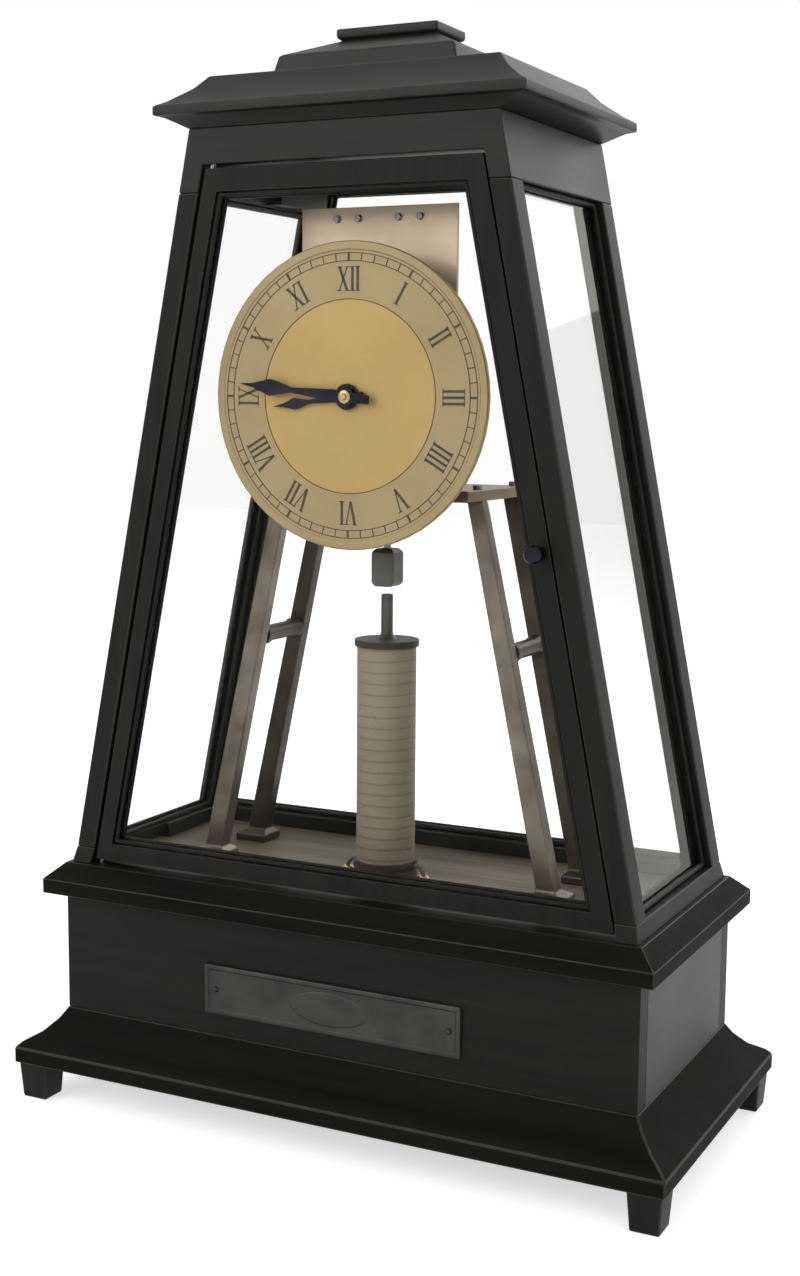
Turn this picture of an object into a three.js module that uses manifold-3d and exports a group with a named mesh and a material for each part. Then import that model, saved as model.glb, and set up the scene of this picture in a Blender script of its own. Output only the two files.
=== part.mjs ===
// Battery clock. A tapering, glazed, ebonised case stands on a box that holds the dry battery.
// Inside it a brass stand with four leaning legs carries the movement and the gilt dial, and a
// short pendulum hangs behind the dial above an upright electromagnet.
// Millimetres. +Z is up, the dial faces -Y, and the origin lies under the middle of the base,
// on the surface that the feet stand on.

import * as THREE from 'three';
import { mergeVertices } from 'three/addons/utils/BufferGeometryUtils.js';
import Module from 'manifold-3d';

const wasm = await Module();
wasm.setup();

// Driving dimensions of the case.
const footHeight = 14;
const footTopWidth = 12.5;
const footBottomWidth = 10.5;
const footInset = 1.2;
const boxWidth = 232;
const boxDepth = 101;
const boardThickness = 8;
const plinthHeight = 20.5;
const plinthOverhang = 15;
const plinthLipHeight = 6;
const deckThickness = 13;
const deckOverhang = 6.5;
const deckLipHeight = 5.5;
const sillHeight = 6;
const cageInset = 3;
const cageTopWidth = 128;
const cageHeight = 243;
const topFrameHeight = 22;
const backRailRise = 9;
const corniceHeight = 19;
const corniceOverhang = 11.5;
const crownSideInset = 3.6;
const crownFrontInset = 8;
const roofHeight = 18;
const roofWidth = 72;
const roofDepth = 60;
const capWidth = 40;
const capDepth = 24;
const postWidth = 8;
const rearPostWidth = 10.5;
const postDepth = 10;

// Driving dimensions of the glazed door and of the battery door.
const doorThickness = 8;
const doorStileWidth = 7;
const doorBottomRail = 6.5;
const doorTopRail = 8;
const doorSideGap = 0.6;
const doorBottomGap = 2;
const doorTopGap = 1.5;
const glassThickness = 2;
const glassInset = 2;
const hingeInset = 2.5;
const hingePinRadius = 1;
const hingePinReach = 7;
const knobRadius = 3.2;
const knobLength = 8;
const batteryDoorWidth = 139;
const batteryDoorMargin = 5.5;
const batteryDoorGap = 0.5;

// Driving dimensions of the battery and its leads.
const batteryWidth = 96;
const batteryDepth = 62;
const batteryHeight = 36;
const terminalRadius = 4;
const terminalHeight = 5;
const terminalSpacing = 32;
const batteryHeadroom = 3.5;
const leadRadius = 0.8;

// Driving dimensions of the stand.
const standFootSpread = 140.6;
const standTopSpread = 79;
const standDepth = 32;
const platformThickness = 4;
const platformWidth = 85;
const legWidth = 7.5;
const legDepth = 6.5;
const legTopShare = 0.8;
const crossbarHeightShare = 0.62;
const crossbarRadius = 3.2;

// Driving dimensions of the dial and the movement.
const dialRadius = 53.5;
const dialThickness = 1.5;
const dialRise = 32;
const handThickness = 0.6;
const minuteHandLength = 43;
const hourHandLength = 30;
const plateThickness = 1.5;
const plateGap = 12;
const dialToPlate = 7;
const pillarRadius = 3;
const pillarBearing = 54;
const pillarClearance = 1.5;
const plateMargin = 6;
const backPlateOverhang = 2;
const movementHeadroom = 4;
const arborRadius = 0.8;
const centreArborRadius = 1;
const wheelThickness = 1.2;
const trainModule = 0.5;
const centreWheelTeeth = 72;
const intermediateWheelTeeth = 60;
const pinionTeeth = 6;
const countWheelTeeth = 45;
const countWheelRadius = 10;
const countArborRise = 28;
const cannonModule = 0.6;
const cannonTeeth = 10;
const minuteWheelTeeth = 30;
const minutePinionTeeth = 8;
const hourWheelTeeth = 32;

// Driving dimensions of the pendulum and the electromagnet.
const pendulumOffset = 7.5;
const suspensionRise = 22;
const suspensionMargin = 7;
const rodRadius = 1.25;
const eyeRadius = 3.5;
const bobRadius = 18;
const bobThickness = 6;
const nutRadius = 4.5;
const nutHeight = 5;
const nutClearance = 6.7;
const armatureWidth = 9;
const armatureHeight = 14;
const armatureClearance = 19;
const magnetGap = 3;
const coilRadius = 11;
const coilCheekRadius = 12;
const coilCheekThickness = 2.5;
const coreRadius = 4;
const poleTipRadius = 2.2;
const poleTipLength = 16.7;
const coreFootRadius = 12;
const coreFootHeight = 3;

// Clearances.
const runningGap = 0.3;
const seatGap = 0.3;
const cutOverrun = 2;

// Heights and depths that follow from the sizes above.
const boxHeight = batteryHeight + terminalHeight + batteryHeadroom;
const cageWidth = boxWidth - 2 * cageInset;
const cageDepth = boxDepth - 2 * cageInset;
const plinthBase = footHeight;
const boxBase = plinthBase + plinthHeight;
const deckBase = boxBase + boxHeight;
const floorLevel = deckBase + deckThickness;
const cageBase = floorLevel + sillHeight;
const topFrameBase = cageBase + cageHeight;
const corniceBase = topFrameBase + topFrameHeight;
const roofBase = corniceBase + corniceHeight;
const caseFront = -cageDepth / 2;
const caseBack = cageDepth / 2;
const taper = (cageWidth - cageTopWidth) / 2 / cageHeight;
const taperAngle = Math.atan(taper);

const doorBase = floorLevel + doorBottomGap;
const doorTop = topFrameBase + doorTopRail;
const doorGlassFront = caseFront + glassInset;
const doorGlassBack = doorGlassFront + glassThickness;

const movementHeight = dialRise + countArborRise + countWheelRadius + suspensionRise + suspensionMargin;
const platformTop = topFrameBase - movementHeadroom - movementHeight;
const platformBase = platformTop - platformThickness;
const platformHeight = platformBase - floorLevel;
const dialCentre = platformTop + dialRise;
const countZ = dialCentre + countArborRise;
const suspensionLevel = countZ + countWheelRadius + suspensionRise;

const handGap = handThickness * 1.5;
const arborTip = doorGlassBack + handThickness;
const minuteHandBack = arborTip + handGap + handThickness;
const hourHandBack = minuteHandBack + handGap + handThickness;
const dialFront = hourHandBack + handGap;
const dialBack = dialFront + dialThickness;
const frontPlateFront = dialBack + dialToPlate;
const frontPlateBack = frontPlateFront + plateThickness;
const backPlateFront = frontPlateBack + plateGap;
const backPlateBack = backPlateFront + plateThickness;
const pendulumPlane = backPlateBack + pendulumOffset;
const nutLevel = platformTop + nutClearance;
const bobLevel = nutLevel + nutHeight + seatGap + bobRadius;
const armatureLevel = platformBase - armatureClearance - armatureHeight;
const poleTipLevel = armatureLevel - magnetGap;
const coilBase = floorLevel + coreFootHeight + seatGap;
const coilHeight = poleTipLevel - poleTipLength - coilBase;

// Finishes, as seen.
const ebonised = { color: 0x1d1f1b, roughness: 0.4, metalness: 0 };
const ebonisedInside = { color: 0x37352e, roughness: 0.6, metalness: 0 };
const clearGlass = { color: 0xeef4f2, roughness: 0.05, metalness: 0, transparent: true, opacity: 0.25 };
const gilt = { color: 0xb09a66, roughness: 0.5, metalness: 0.8 };
const brass = { color: 0xb5925a, roughness: 0.35, metalness: 0.9 };
const rosyBrass = { color: 0xb79f8a, roughness: 0.4, metalness: 0.85 };
const bronze = { color: 0x6d5f4e, roughness: 0.45, metalness: 0.8 };
const steel = { color: 0x8b8d90, roughness: 0.3, metalness: 0.95 };
const blackenedSteel = { color: 0x1a1b20, roughness: 0.35, metalness: 0.8 };
const softIron = { color: 0x55524e, roughness: 0.55, metalness: 0.85 };
const wrappedCoil = { color: 0x7d735f, roughness: 0.85, metalness: 0 };
const card = { color: 0x8c6a44, roughness: 0.9, metalness: 0 };
const braid = { color: 0x5a5a34, roughness: 0.9, metalness: 0 };

const group = new THREE.Group();

function part(name, geometry, finish, position = [0, 0, 0]) {
  const mesh = new THREE.Mesh(geometry, new THREE.MeshStandardMaterial(finish));
  mesh.name = name;
  mesh.position.set(...position);
  group.add(mesh);
  return mesh;
}

// Half the width of the tapering case at a height.
function halfWidthAt(z) {
  return cageWidth / 2 - taper * (z - cageBase);
}

// A closed body between outlines of equal point count, stacked upwards, each anticlockwise.
function loft(rings) {
  const count = rings[0].length;
  const positions = rings.flat(2);
  const flat = rings[0].map(([x, y]) => new THREE.Vector2(x, y));
  const caps = THREE.ShapeUtils.triangulateShape(flat, []);
  const last = (rings.length - 1) * count;
  const indices = [];
  for (const [a, b, c] of caps) {
    indices.push(c, b, a);
    indices.push(last + a, last + b, last + c);
  }
  for (let level = 0; level < rings.length - 1; level += 1) {
    for (let i = 0; i < count; i += 1) {
      const a = level * count + i;
      const b = level * count + (i + 1) % count;
      indices.push(a, b, b + count);
      indices.push(a, b + count, a + count);
    }
  }
  const geometry = new THREE.BufferGeometry();
  geometry.setAttribute('position', new THREE.Float32BufferAttribute(positions, 3));
  geometry.setIndex(indices);
  geometry.computeVertexNormals();
  return geometry;
}

function rectangle(z, halfX, halfY, centreX = 0, centreY = 0) {
  return [
    [centreX - halfX, centreY - halfY, z],
    [centreX + halfX, centreY - halfY, z],
    [centreX + halfX, centreY + halfY, z],
    [centreX - halfX, centreY + halfY, z],
  ];
}

function box(xLow, xHigh, yLow, yHigh, zLow, zHigh) {
  const halfX = (xHigh - xLow) / 2;
  const halfY = (yHigh - yLow) / 2;
  const x = (xLow + xHigh) / 2;
  const y = (yLow + yHigh) / 2;
  return loft([rectangle(zLow, halfX, halfY, x, y), rectangle(zHigh, halfX, halfY, x, y)]);
}

// An upright member that leans with the case: its plan is given from the case's outer face at
// that height, which is x = 0, inwards to negative x. Side is +1 for the right, -1 for the left.
function leaningMember(plan, side, zLow, zHigh) {
  const ringAt = (z) => {
    const ring = plan.map(([x, y]) => [side * (halfWidthAt(z) + x), y, z]);
    return side > 0 ? ring : ring.reverse();
  };
  return loft([ringAt(zLow), ringAt(zHigh)]);
}

function planRectangle(xInner, xOuter, yLow, yHigh) {
  return [[xInner, yLow], [xOuter, yLow], [xOuter, yHigh], [xInner, yHigh]];
}

// A flat piece cut to an outline in the X-Z plane, from its front face back to its back face.
function plate(shape, yFront, yBack) {
  const depth = yBack - yFront;
  const geometry = new THREE.ExtrudeGeometry(shape, { depth, bevelEnabled: false, curveSegments: 6 });
  geometry.rotateX(Math.PI / 2);
  geometry.translate(0, yBack, 0);
  return geometry;
}

function polygon(points) {
  return new THREE.Shape(points.map(([x, z]) => new THREE.Vector2(x, z)));
}

function roundHole(x, z, radius) {
  const hole = new THREE.Path();
  hole.absarc(x, z, radius, 0, 2 * Math.PI, true);
  return hole;
}

// A turned piece about the Y axis: its profile is radius and depth, from front to back.
function turnedAlongY(profile, segments = 24) {
  const points = profile.map(([radius, y]) => new THREE.Vector2(radius, y));
  return new THREE.LatheGeometry(points, segments);
}

function turnedAlongZ(profile, segments = 24) {
  return turnedAlongY(profile, segments).rotateX(Math.PI / 2);
}

function rodProfile(radius, low, high) {
  return [[0, low], [radius, low], [radius, high], [0, high]];
}

function pipeProfile(inner, outer, low, high) {
  return [[inner, low], [outer, low], [outer, high], [inner, high], [inner, low]];
}

function toSolid(geometry) {
  const bare = geometry.clone();
  bare.deleteAttribute('normal');
  bare.deleteAttribute('uv');
  const merged = mergeVertices(bare);
  const mesh = new wasm.Mesh({
    numProp: 3,
    vertProperties: Float32Array.from(merged.attributes.position.array),
    triVerts: Uint32Array.from(merged.index.array),
  });
  return new wasm.Manifold(mesh);
}

function toGeometry(solid) {
  const { vertProperties, triVerts } = solid.getMesh();
  const geometry = new THREE.BufferGeometry();
  geometry.setAttribute('position', new THREE.Float32BufferAttribute(vertProperties, 3));
  geometry.setIndex(Array.from(triVerts));
  geometry.computeVertexNormals();
  return geometry;
}

function join(first, ...others) {
  const solids = others.map(toSolid);
  return toGeometry(solids.reduce((whole, next) => whole.add(next), toSolid(first)));
}

function cut(body, ...tools) {
  const solids = tools.map(toSolid);
  return toGeometry(solids.reduce((whole, next) => whole.subtract(next), toSolid(body)));
}

// Four tapering block feet under the corners of the plinth.
function foot() {
  const bottom = footBottomWidth / 2;
  const top = footTopWidth / 2;
  return loft([rectangle(0, bottom, bottom), rectangle(footHeight, top, top)]);
}

function addFeet() {
  const x = boxWidth / 2 + plinthOverhang - footTopWidth / 2 - footInset;
  const y = boxDepth / 2 + plinthOverhang - footTopWidth / 2 - footInset;
  part('foot_front_left', foot(), ebonised, [-x, -y, 0]);
  part('foot_front_right', foot(), ebonised, [x, -y, 0]);
  part('foot_rear_left', foot(), ebonised, [-x, y, 0]);
  part('foot_rear_right', foot(), ebonised, [x, y, 0]);
}

// A solid board whose edge is worked to a moulding: each step is a height above the board's
// underside and how far the edge stands out from a core of the given half width and half depth.
function mouldedBoard(base, halfX, halfY, steps) {
  return loft(steps.map(([rise, out]) => rectangle(base + rise, halfX + out, halfY + out)));
}

// The plinth: a square lip with a hollow worked above it, up to the foot of the box.
function plinthBoard() {
  const hollow = plinthHeight - plinthLipHeight;
  return mouldedBoard(plinthBase, boxWidth / 2, boxDepth / 2, [
    [0, plinthOverhang],
    [plinthLipHeight, plinthOverhang],
    [plinthLipHeight + hollow * 0.14, plinthOverhang * 0.86],
    [plinthLipHeight + hollow * 0.36, plinthOverhang * 0.5],
    [plinthLipHeight + hollow * 0.68, plinthOverhang * 0.2],
    [plinthHeight, 0],
  ]);
}

// The front board of the box, with a raised, bevelled panel worked on its face.
const panelWidth = 184;
const panelHeight = 32;
const panelRise = 1.2;
const panelBevel = 2.5;

function boxFrontBoard() {
  const front = -boxDepth / 2;
  const middle = boxBase + boxHeight / 2;
  const board = box(-boxWidth / 2, boxWidth / 2, front, front + boardThickness, boxBase, deckBase);
  const panel = loft([
    rectangle(0, panelWidth / 2, panelHeight / 2),
    rectangle(boardThickness / 2, panelWidth / 2, panelHeight / 2),
    rectangle(boardThickness / 2 + panelRise, panelWidth / 2 - panelBevel, panelHeight / 2 - panelBevel),
  ]);
  panel.rotateX(Math.PI / 2);
  panel.translate(0, front + boardThickness / 2, middle);
  return join(board, panel);
}

function boxSideBoard() {
  const halfDepth = boxDepth / 2 - boardThickness;
  return box(0, boardThickness, -halfDepth, halfDepth, boxBase, deckBase);
}

// The back board has an opening for the battery door, and blind holes for its hinge pin.
const batteryDoorHeight = boxHeight - 2 * batteryDoorMargin;
const batteryOpeningWidth = batteryDoorWidth + 2 * batteryDoorGap;
const batteryOpeningHeight = batteryDoorHeight + 2 * batteryDoorGap;
const batteryDoorBase = boxBase + batteryDoorMargin;
const batteryPinX = -batteryDoorWidth / 2 + hingeInset;
const batteryPinY = boxDepth / 2 - hingeInset;
const batteryPinReach = (boxHeight - batteryOpeningHeight) / 4;

function batteryPin(radius, extra) {
  const low = batteryDoorBase - batteryDoorGap - batteryPinReach - extra;
  const high = batteryDoorBase + batteryDoorHeight + batteryDoorGap + batteryPinReach + extra;
  return turnedAlongZ(rodProfile(radius, low, high), 16).translate(batteryPinX, batteryPinY, 0);
}

function boxBackBoard() {
  const back = boxDepth / 2;
  const board = box(-boxWidth / 2, boxWidth / 2, back - boardThickness, back, boxBase, deckBase);
  const opening = box(
    -batteryOpeningWidth / 2, batteryOpeningWidth / 2,
    back - boardThickness - cutOverrun, back + cutOverrun,
    batteryDoorBase - batteryDoorGap, batteryDoorBase + batteryDoorHeight + batteryDoorGap,
  );
  return cut(board, opening, batteryPin(hingePinRadius + runningGap, runningGap));
}

// The battery door is a flush panel; the hinge edge has its outer corner taken off so that it
// clears the board as it turns.
function batteryDoor() {
  const half = batteryDoorWidth / 2;
  const back = boxDepth / 2;
  const corner = hingeInset / 2;
  const plan = [
    [-half, back - boardThickness],
    [half, back - boardThickness],
    [half, back],
    [-half + corner, back],
    [-half, back - corner],
  ];
  const ringAt = (z) => plan.map(([x, y]) => [x, y, z]);
  const panel = loft([ringAt(batteryDoorBase), ringAt(batteryDoorBase + batteryDoorHeight)]);
  return cut(panel, batteryPin(hingePinRadius + runningGap, 0));
}

// A small turned knob that stands out along +Y from a face at y = 0.
function turnedKnob() {
  const neck = knobRadius * 0.5;
  return turnedAlongY([
    [0, 0],
    [neck * 1.5, 0],
    [neck, knobLength * 0.2],
    [neck, knobLength * 0.45],
    [knobRadius, knobLength * 0.65],
    [knobRadius, knobLength * 0.85],
    [knobRadius * 0.75, knobLength],
    [0, knobLength],
  ], 16);
}

function addBatteryBox() {
  part('plinth_board', plinthBoard(), ebonised);
  part('box_front_board', boxFrontBoard(), ebonised);
  part('box_back_board', boxBackBoard(), ebonised);
  part('box_left_board', boxSideBoard(), ebonised, [-boxWidth / 2, 0, 0]);
  part('box_right_board', boxSideBoard(), ebonised, [boxWidth / 2 - boardThickness, 0, 0]);
  part('battery_door', batteryDoor(), ebonised);
  part('battery_door_pin', batteryPin(hingePinRadius, 0), steel);
  const knobX = batteryDoorWidth / 2 - 4 * knobRadius;
  const knobZ = batteryDoorBase + batteryDoorHeight / 2;
  part('battery_door_knob', turnedKnob(), blackenedSteel, [knobX, boxDepth / 2, knobZ]);
}

// The deck board closes the box and is the floor of the glazed case. It has holes for the two
// battery leads, and a blind hole for the lower pin of the glazed door.
const leadX = terminalSpacing / 2;

function deckBoard() {
  const slope = deckThickness - deckLipHeight;
  const board = mouldedBoard(deckBase, boxWidth / 2, boxDepth / 2, [
    [0, 0],
    [slope * 0.2, deckOverhang],
    [slope * 0.2 + deckLipHeight, deckOverhang],
    [deckThickness, 0],
  ]);
  const holes = [-leadX, leadX].map((x) => {
    const profile = rodProfile(leadRadius + runningGap, deckBase - cutOverrun, floorLevel + cutOverrun);
    return turnedAlongZ(profile, 12).translate(x, pendulumPlane, 0);
  });
  return cut(board, ...holes, doorPin(hingePinRadius + runningGap, 'lower', runningGap));
}

// The dry battery stands in the middle of the box, with two terminals on top.
function dryBattery() {
  const halfX = batteryWidth / 2;
  const halfY = batteryDepth / 2;
  const body = box(-halfX, halfX, -halfY, halfY, boxBase, boxBase + batteryHeight);
  const terminals = [-leadX, leadX].map((x) => {
    const low = boxBase + batteryHeight - cutOverrun;
    const high = boxBase + batteryHeight + terminalHeight;
    return turnedAlongZ(rodProfile(terminalRadius, low, high), 16).translate(x, pendulumPlane, 0);
  });
  return join(body, ...terminals);
}

// Each lead rises from its terminal through the floor and bends in to the foot of the coil.
function batteryLead(side) {
  const bend = coilCheekRadius / 3;
  const start = boxBase + batteryHeight + terminalHeight + seatGap;
  const end = coilBase + coilCheekThickness / 2;
  const path = new THREE.CurvePath();
  const foot = new THREE.Vector3(side * leadX, pendulumPlane, start);
  const below = new THREE.Vector3(side * leadX, pendulumPlane, end - bend);
  const corner = new THREE.Vector3(side * leadX, pendulumPlane, end);
  const inner = new THREE.Vector3(side * (coilCheekRadius + seatGap), pendulumPlane, end);
  path.add(new THREE.LineCurve3(foot, below));
  path.add(new THREE.QuadraticBezierCurve3(below, corner, inner));
  const section = new THREE.Shape();
  section.absarc(0, 0, leadRadius, 0, 2 * Math.PI);
  return new THREE.ExtrudeGeometry(section, { extrudePath: path, steps: 12, curveSegments: 3 });
}

// The sill runs round the sides and the back of the cage; its front is open for the door.
function cageSill() {
  const outer = loft([
    rectangle(floorLevel, (boxWidth + cageWidth) / 4, (boxDepth + cageDepth) / 4),
    rectangle(cageBase, cageWidth / 2, cageDepth / 2),
  ]);
  const innerX = cageWidth / 2 - rearPostWidth;
  const innerY = cageDepth / 2 - postDepth;
  const low = floorLevel - cutOverrun;
  const high = cageBase + cutOverrun;
  const inside = box(-innerX, innerX, -innerY, innerY, low, high);
  const doorway = loft([low, high].map((z) => {
    const halfX = halfWidthAt(z) - postWidth;
    return rectangle(z, halfX, cageDepth / 2, 0, -cageDepth / 2);
  }));
  return cut(outer, inside, doorway);
}

function addPosts() {
  const front = planRectangle(-postWidth, 0, caseFront, caseFront + postDepth);
  const rear = planRectangle(-rearPostWidth, 0, caseBack - postDepth, caseBack);
  part('post_front_left', leaningMember(front, -1, cageBase, topFrameBase), ebonised);
  part('post_front_right', leaningMember(front, 1, cageBase, topFrameBase), ebonised);
  part('post_rear_left', leaningMember(rear, -1, cageBase, topFrameBase), ebonised);
  part('post_rear_right', leaningMember(rear, 1, cageBase, topFrameBase), ebonised);
}

// Side and back panes stand on the sill between the posts, under the top frame, where the rail
// over the back pane is the shallower one.
function addPanes() {
  const reach = cageDepth / 2 - postDepth - seatGap;
  const middle = rearPostWidth / 2;
  const plan = planRectangle(-middle - glassThickness / 2, -middle + glassThickness / 2, -reach, reach);
  const top = topFrameBase - seatGap;
  part('glass_left', leaningMember(plan, -1, cageBase, top), clearGlass);
  part('glass_right', leaningMember(plan, 1, cageBase, top), clearGlass);
  const halfAt = (z) => halfWidthAt(z) - rearPostWidth - seatGap;
  const backTop = top + backRailRise;
  const outline = polygon([
    [-halfAt(cageBase), cageBase], [halfAt(cageBase), cageBase],
    [halfAt(backTop), backTop], [-halfAt(backTop), backTop],
  ]);
  const centre = caseBack - postDepth / 2;
  const front = centre - glassThickness / 2;
  part('glass_back', plate(outline, front, front + glassThickness), clearGlass);
}

// The top frame joins the posts, with a rebate over the door, a blind hole for its upper pin, and
// a lower edge that steps up over the back pane.
function topFrame() {
  const wall = (z) => rectangle(z, halfWidthAt(z), cageDepth / 2);
  const outer = loft([wall(topFrameBase), wall(corniceBase)]);
  const innerX = halfWidthAt(topFrameBase) - rearPostWidth - boardThickness / 2;
  const innerY = cageDepth / 2 - postDepth;
  const low = topFrameBase - cutOverrun;
  const high = corniceBase + cutOverrun;
  const inside = box(-innerX, innerX, -innerY, innerY, low, high);
  const doorway = loft([low, doorTop + doorTopGap].map((z) => {
    const halfX = halfWidthAt(z) - postWidth;
    return rectangle(z, halfX, cageDepth / 2, 0, -cageDepth / 2);
  }));
  const backOpening = loft([low, topFrameBase + backRailRise].map((z) => {
    return rectangle(z, halfWidthAt(z) - rearPostWidth, postDepth + cutOverrun, 0, caseBack);
  }));
  const pinHole = doorPin(hingePinRadius + runningGap, 'upper', runningGap);
  return cut(outer, inside, doorway, backOpening, pinHole);
}

// The glazed door turns on two short pins that lie on one line, leaning with its left stile.
const doorPinInset = postWidth + doorSideGap + hingeInset;
const doorPinY = caseFront + hingeInset;

function doorPin(radius, end, extra) {
  const overlap = hingePinReach;
  const levels = {
    lower: [doorBase - doorBottomGap - hingePinReach - extra, doorBase + overlap + extra],
    upper: [doorTop - overlap - extra, doorTop + doorTopGap + hingePinReach + extra],
  };
  const [low, high] = levels[end];
  const middle = (low + high) / 2;
  const half = (high - low) / 2 / Math.cos(taperAngle);
  const pin = turnedAlongZ(rodProfile(radius, -half, half), 16);
  pin.rotateY(taperAngle);
  return pin.translate(doorPinInset - halfWidthAt(middle), doorPinY, middle);
}

function doorFrame() {
  const outer = -postWidth - doorSideGap;
  const inner = outer - doorStileWidth;
  const back = caseFront + doorThickness;
  const corner = hingeInset / 2;
  const hingePlan = [
    [inner, caseFront],
    [outer - corner, caseFront],
    [outer, caseFront + corner],
    [outer, back],
    [inner, back],
  ];
  const hingeStile = leaningMember(hingePlan, -1, doorBase, doorTop);
  const closingStile = leaningMember(planRectangle(inner, outer, caseFront, back), 1, doorBase, doorTop);
  const rail = (low, high) => loft([low, high].map((z) => {
    const halfX = halfWidthAt(z) + (inner + outer) / 2;
    return rectangle(z, halfX, doorThickness / 2, 0, caseFront + doorThickness / 2);
  }));
  const frame = join(
    hingeStile, closingStile, rail(doorBase, doorBase + doorBottomRail), rail(topFrameBase, doorTop),
  );
  const pinHole = hingePinRadius + runningGap;
  return cut(frame, doorPin(pinHole, 'lower', runningGap), doorPin(pinHole, 'upper', runningGap));
}

function doorGlass() {
  const inset = postWidth + doorSideGap + doorStileWidth + seatGap;
  const low = doorBase + doorBottomRail + seatGap;
  const high = topFrameBase - seatGap;
  const halfAt = (z) => halfWidthAt(z) - inset;
  const outline = polygon([
    [-halfAt(low), low], [halfAt(low), low], [halfAt(high), high], [-halfAt(high), high],
  ]);
  return plate(outline, doorGlassFront, doorGlassBack);
}

function addDoor() {
  part('door_frame', doorFrame(), ebonised);
  part('door_glass', doorGlass(), clearGlass);
  part('door_pin_upper', doorPin(hingePinRadius, 'upper', 0), steel);
  part('door_pin_lower', doorPin(hingePinRadius, 'lower', 0), steel);
  const knobLevel = cageBase + cageHeight / 2;
  const knobX = halfWidthAt(knobLevel) - postWidth - doorSideGap - doorStileWidth / 2;
  const knob = part('door_knob', turnedKnob(), blackenedSteel, [knobX, caseFront, knobLevel]);
  knob.rotation.z = Math.PI;
}

// The cornice: a bed moulding, a square lip, and a hollow that runs back to the crown.
function cornice() {
  const wallX = halfWidthAt(corniceBase);
  const wallY = cageDepth / 2;
  const step = (riseShare, halfX, halfY) => {
    return rectangle(corniceBase + corniceHeight * riseShare, halfX, halfY);
  };
  const crownX = wallX - crownSideInset;
  const crownY = wallY - crownFrontInset;
  const between = (share) => [
    crownX + (crownSideInset + corniceOverhang) * share,
    crownY + (crownFrontInset + corniceOverhang / 2) * share,
  ];
  return loft([
    step(0, wallX, wallY),
    step(0.2, wallX + corniceOverhang * 0.7, wallY + corniceOverhang * 0.35),
    step(0.24, ...between(1)),
    step(0.4, ...between(1)),
    step(0.5, ...between(0.75)),
    step(0.75, ...between(0.3)),
    step(1, crownX, crownY),
  ]);
}

// The roof block on the crown: steep below, hipped above, under a flat cap.
function roofBlock() {
  const step = (riseShare, width, depth) => {
    return rectangle(roofBase + roofHeight * riseShare, width / 2, depth / 2);
  };
  const capReturn = capWidth * 0.04;
  return loft([
    step(0, roofWidth, roofDepth),
    step(0.4, roofWidth * 0.95, roofDepth * 0.94),
    step(0.78, capWidth - 2 * capReturn, capDepth - 2 * capReturn),
    step(0.82, capWidth, capDepth),
    step(1, capWidth, capDepth),
  ]);
}

function addCage() {
  part('deck_board', deckBoard(), ebonisedInside);
  part('cage_sill', cageSill(), ebonised);
  addPosts();
  addPanes();
  part('top_frame', topFrame(), ebonised);
  part('cornice', cornice(), ebonised);
  part('roof_block', roofBlock(), ebonised);
}

// The stand: four leaning legs with foot flanges, a cross bar on each side, and a platform.
function standXAt(rise) {
  const leg = standFootSpread / 2 - standTopSpread / 2;
  return standFootSpread / 2 - leg * rise / platformHeight;
}

function legHalfAt(rise) {
  const share = 1 - (1 - legTopShare) * rise / platformHeight;
  return [legWidth / 2 * share, legDepth / 2 * share];
}

function standLeg(sideX, sideY) {
  const flange = legWidth * 0.4;
  const ringAt = (rise, halfX, halfY, level) => {
    return rectangle(floorLevel + rise, halfX, halfY, sideX * standXAt(level), sideY * standDepth / 2);
  };
  const full = [legWidth / 2 + flange, legDepth / 2 + flange];
  const neck = legHalfAt(flange * 1.6);
  return loft([
    ringAt(0, ...full, 0),
    ringAt(flange, ...full, 0),
    ringAt(flange * 1.6, ...neck, flange * 1.6),
    ringAt(platformHeight, ...legHalfAt(platformHeight), platformHeight),
  ]);
}

const crossbarHeight = platformHeight * crossbarHeightShare;

function crossbar() {
  const reach = standDepth / 2 - legHalfAt(crossbarHeight)[1] - seatGap;
  const collar = crossbarRadius * 1.25;
  const shoulder = crossbarRadius * 0.8;
  return turnedAlongY([
    [0, -reach],
    [collar, -reach],
    [collar, -reach + shoulder],
    [crossbarRadius, -reach + 2 * shoulder],
    [crossbarRadius, reach - 2 * shoulder],
    [collar, reach - shoulder],
    [collar, reach],
    [0, reach],
  ], 12);
}

// The platform carries the movement plates, and has a slot that the pendulum swings in.
function platform() {
  const front = frontPlateFront;
  const back = standDepth / 2 + legDepth / 2;
  const top = box(-platformWidth / 2, platformWidth / 2, front, back, platformBase, platformTop);
  const slotX = bobRadius * 0.65;
  const slotY = 2 * rodRadius;
  const slot = box(
    -slotX, slotX, pendulumPlane - slotY, pendulumPlane + slotY,
    platformBase - cutOverrun, platformTop + cutOverrun,
  );
  return cut(top, slot);
}

function addStand() {
  part('stand_leg_front_left', standLeg(-1, -1), bronze);
  part('stand_leg_front_right', standLeg(1, -1), bronze);
  part('stand_leg_rear_left', standLeg(-1, 1), bronze);
  part('stand_leg_rear_right', standLeg(1, 1), bronze);
  const x = standXAt(crossbarHeight);
  const z = floorLevel + crossbarHeight;
  part('crossbar_left', crossbar(), bronze, [-x, 0, z]);
  part('crossbar_right', crossbar(), bronze, [x, 0, z]);
  part('platform', platform(), brass);
}

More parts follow.
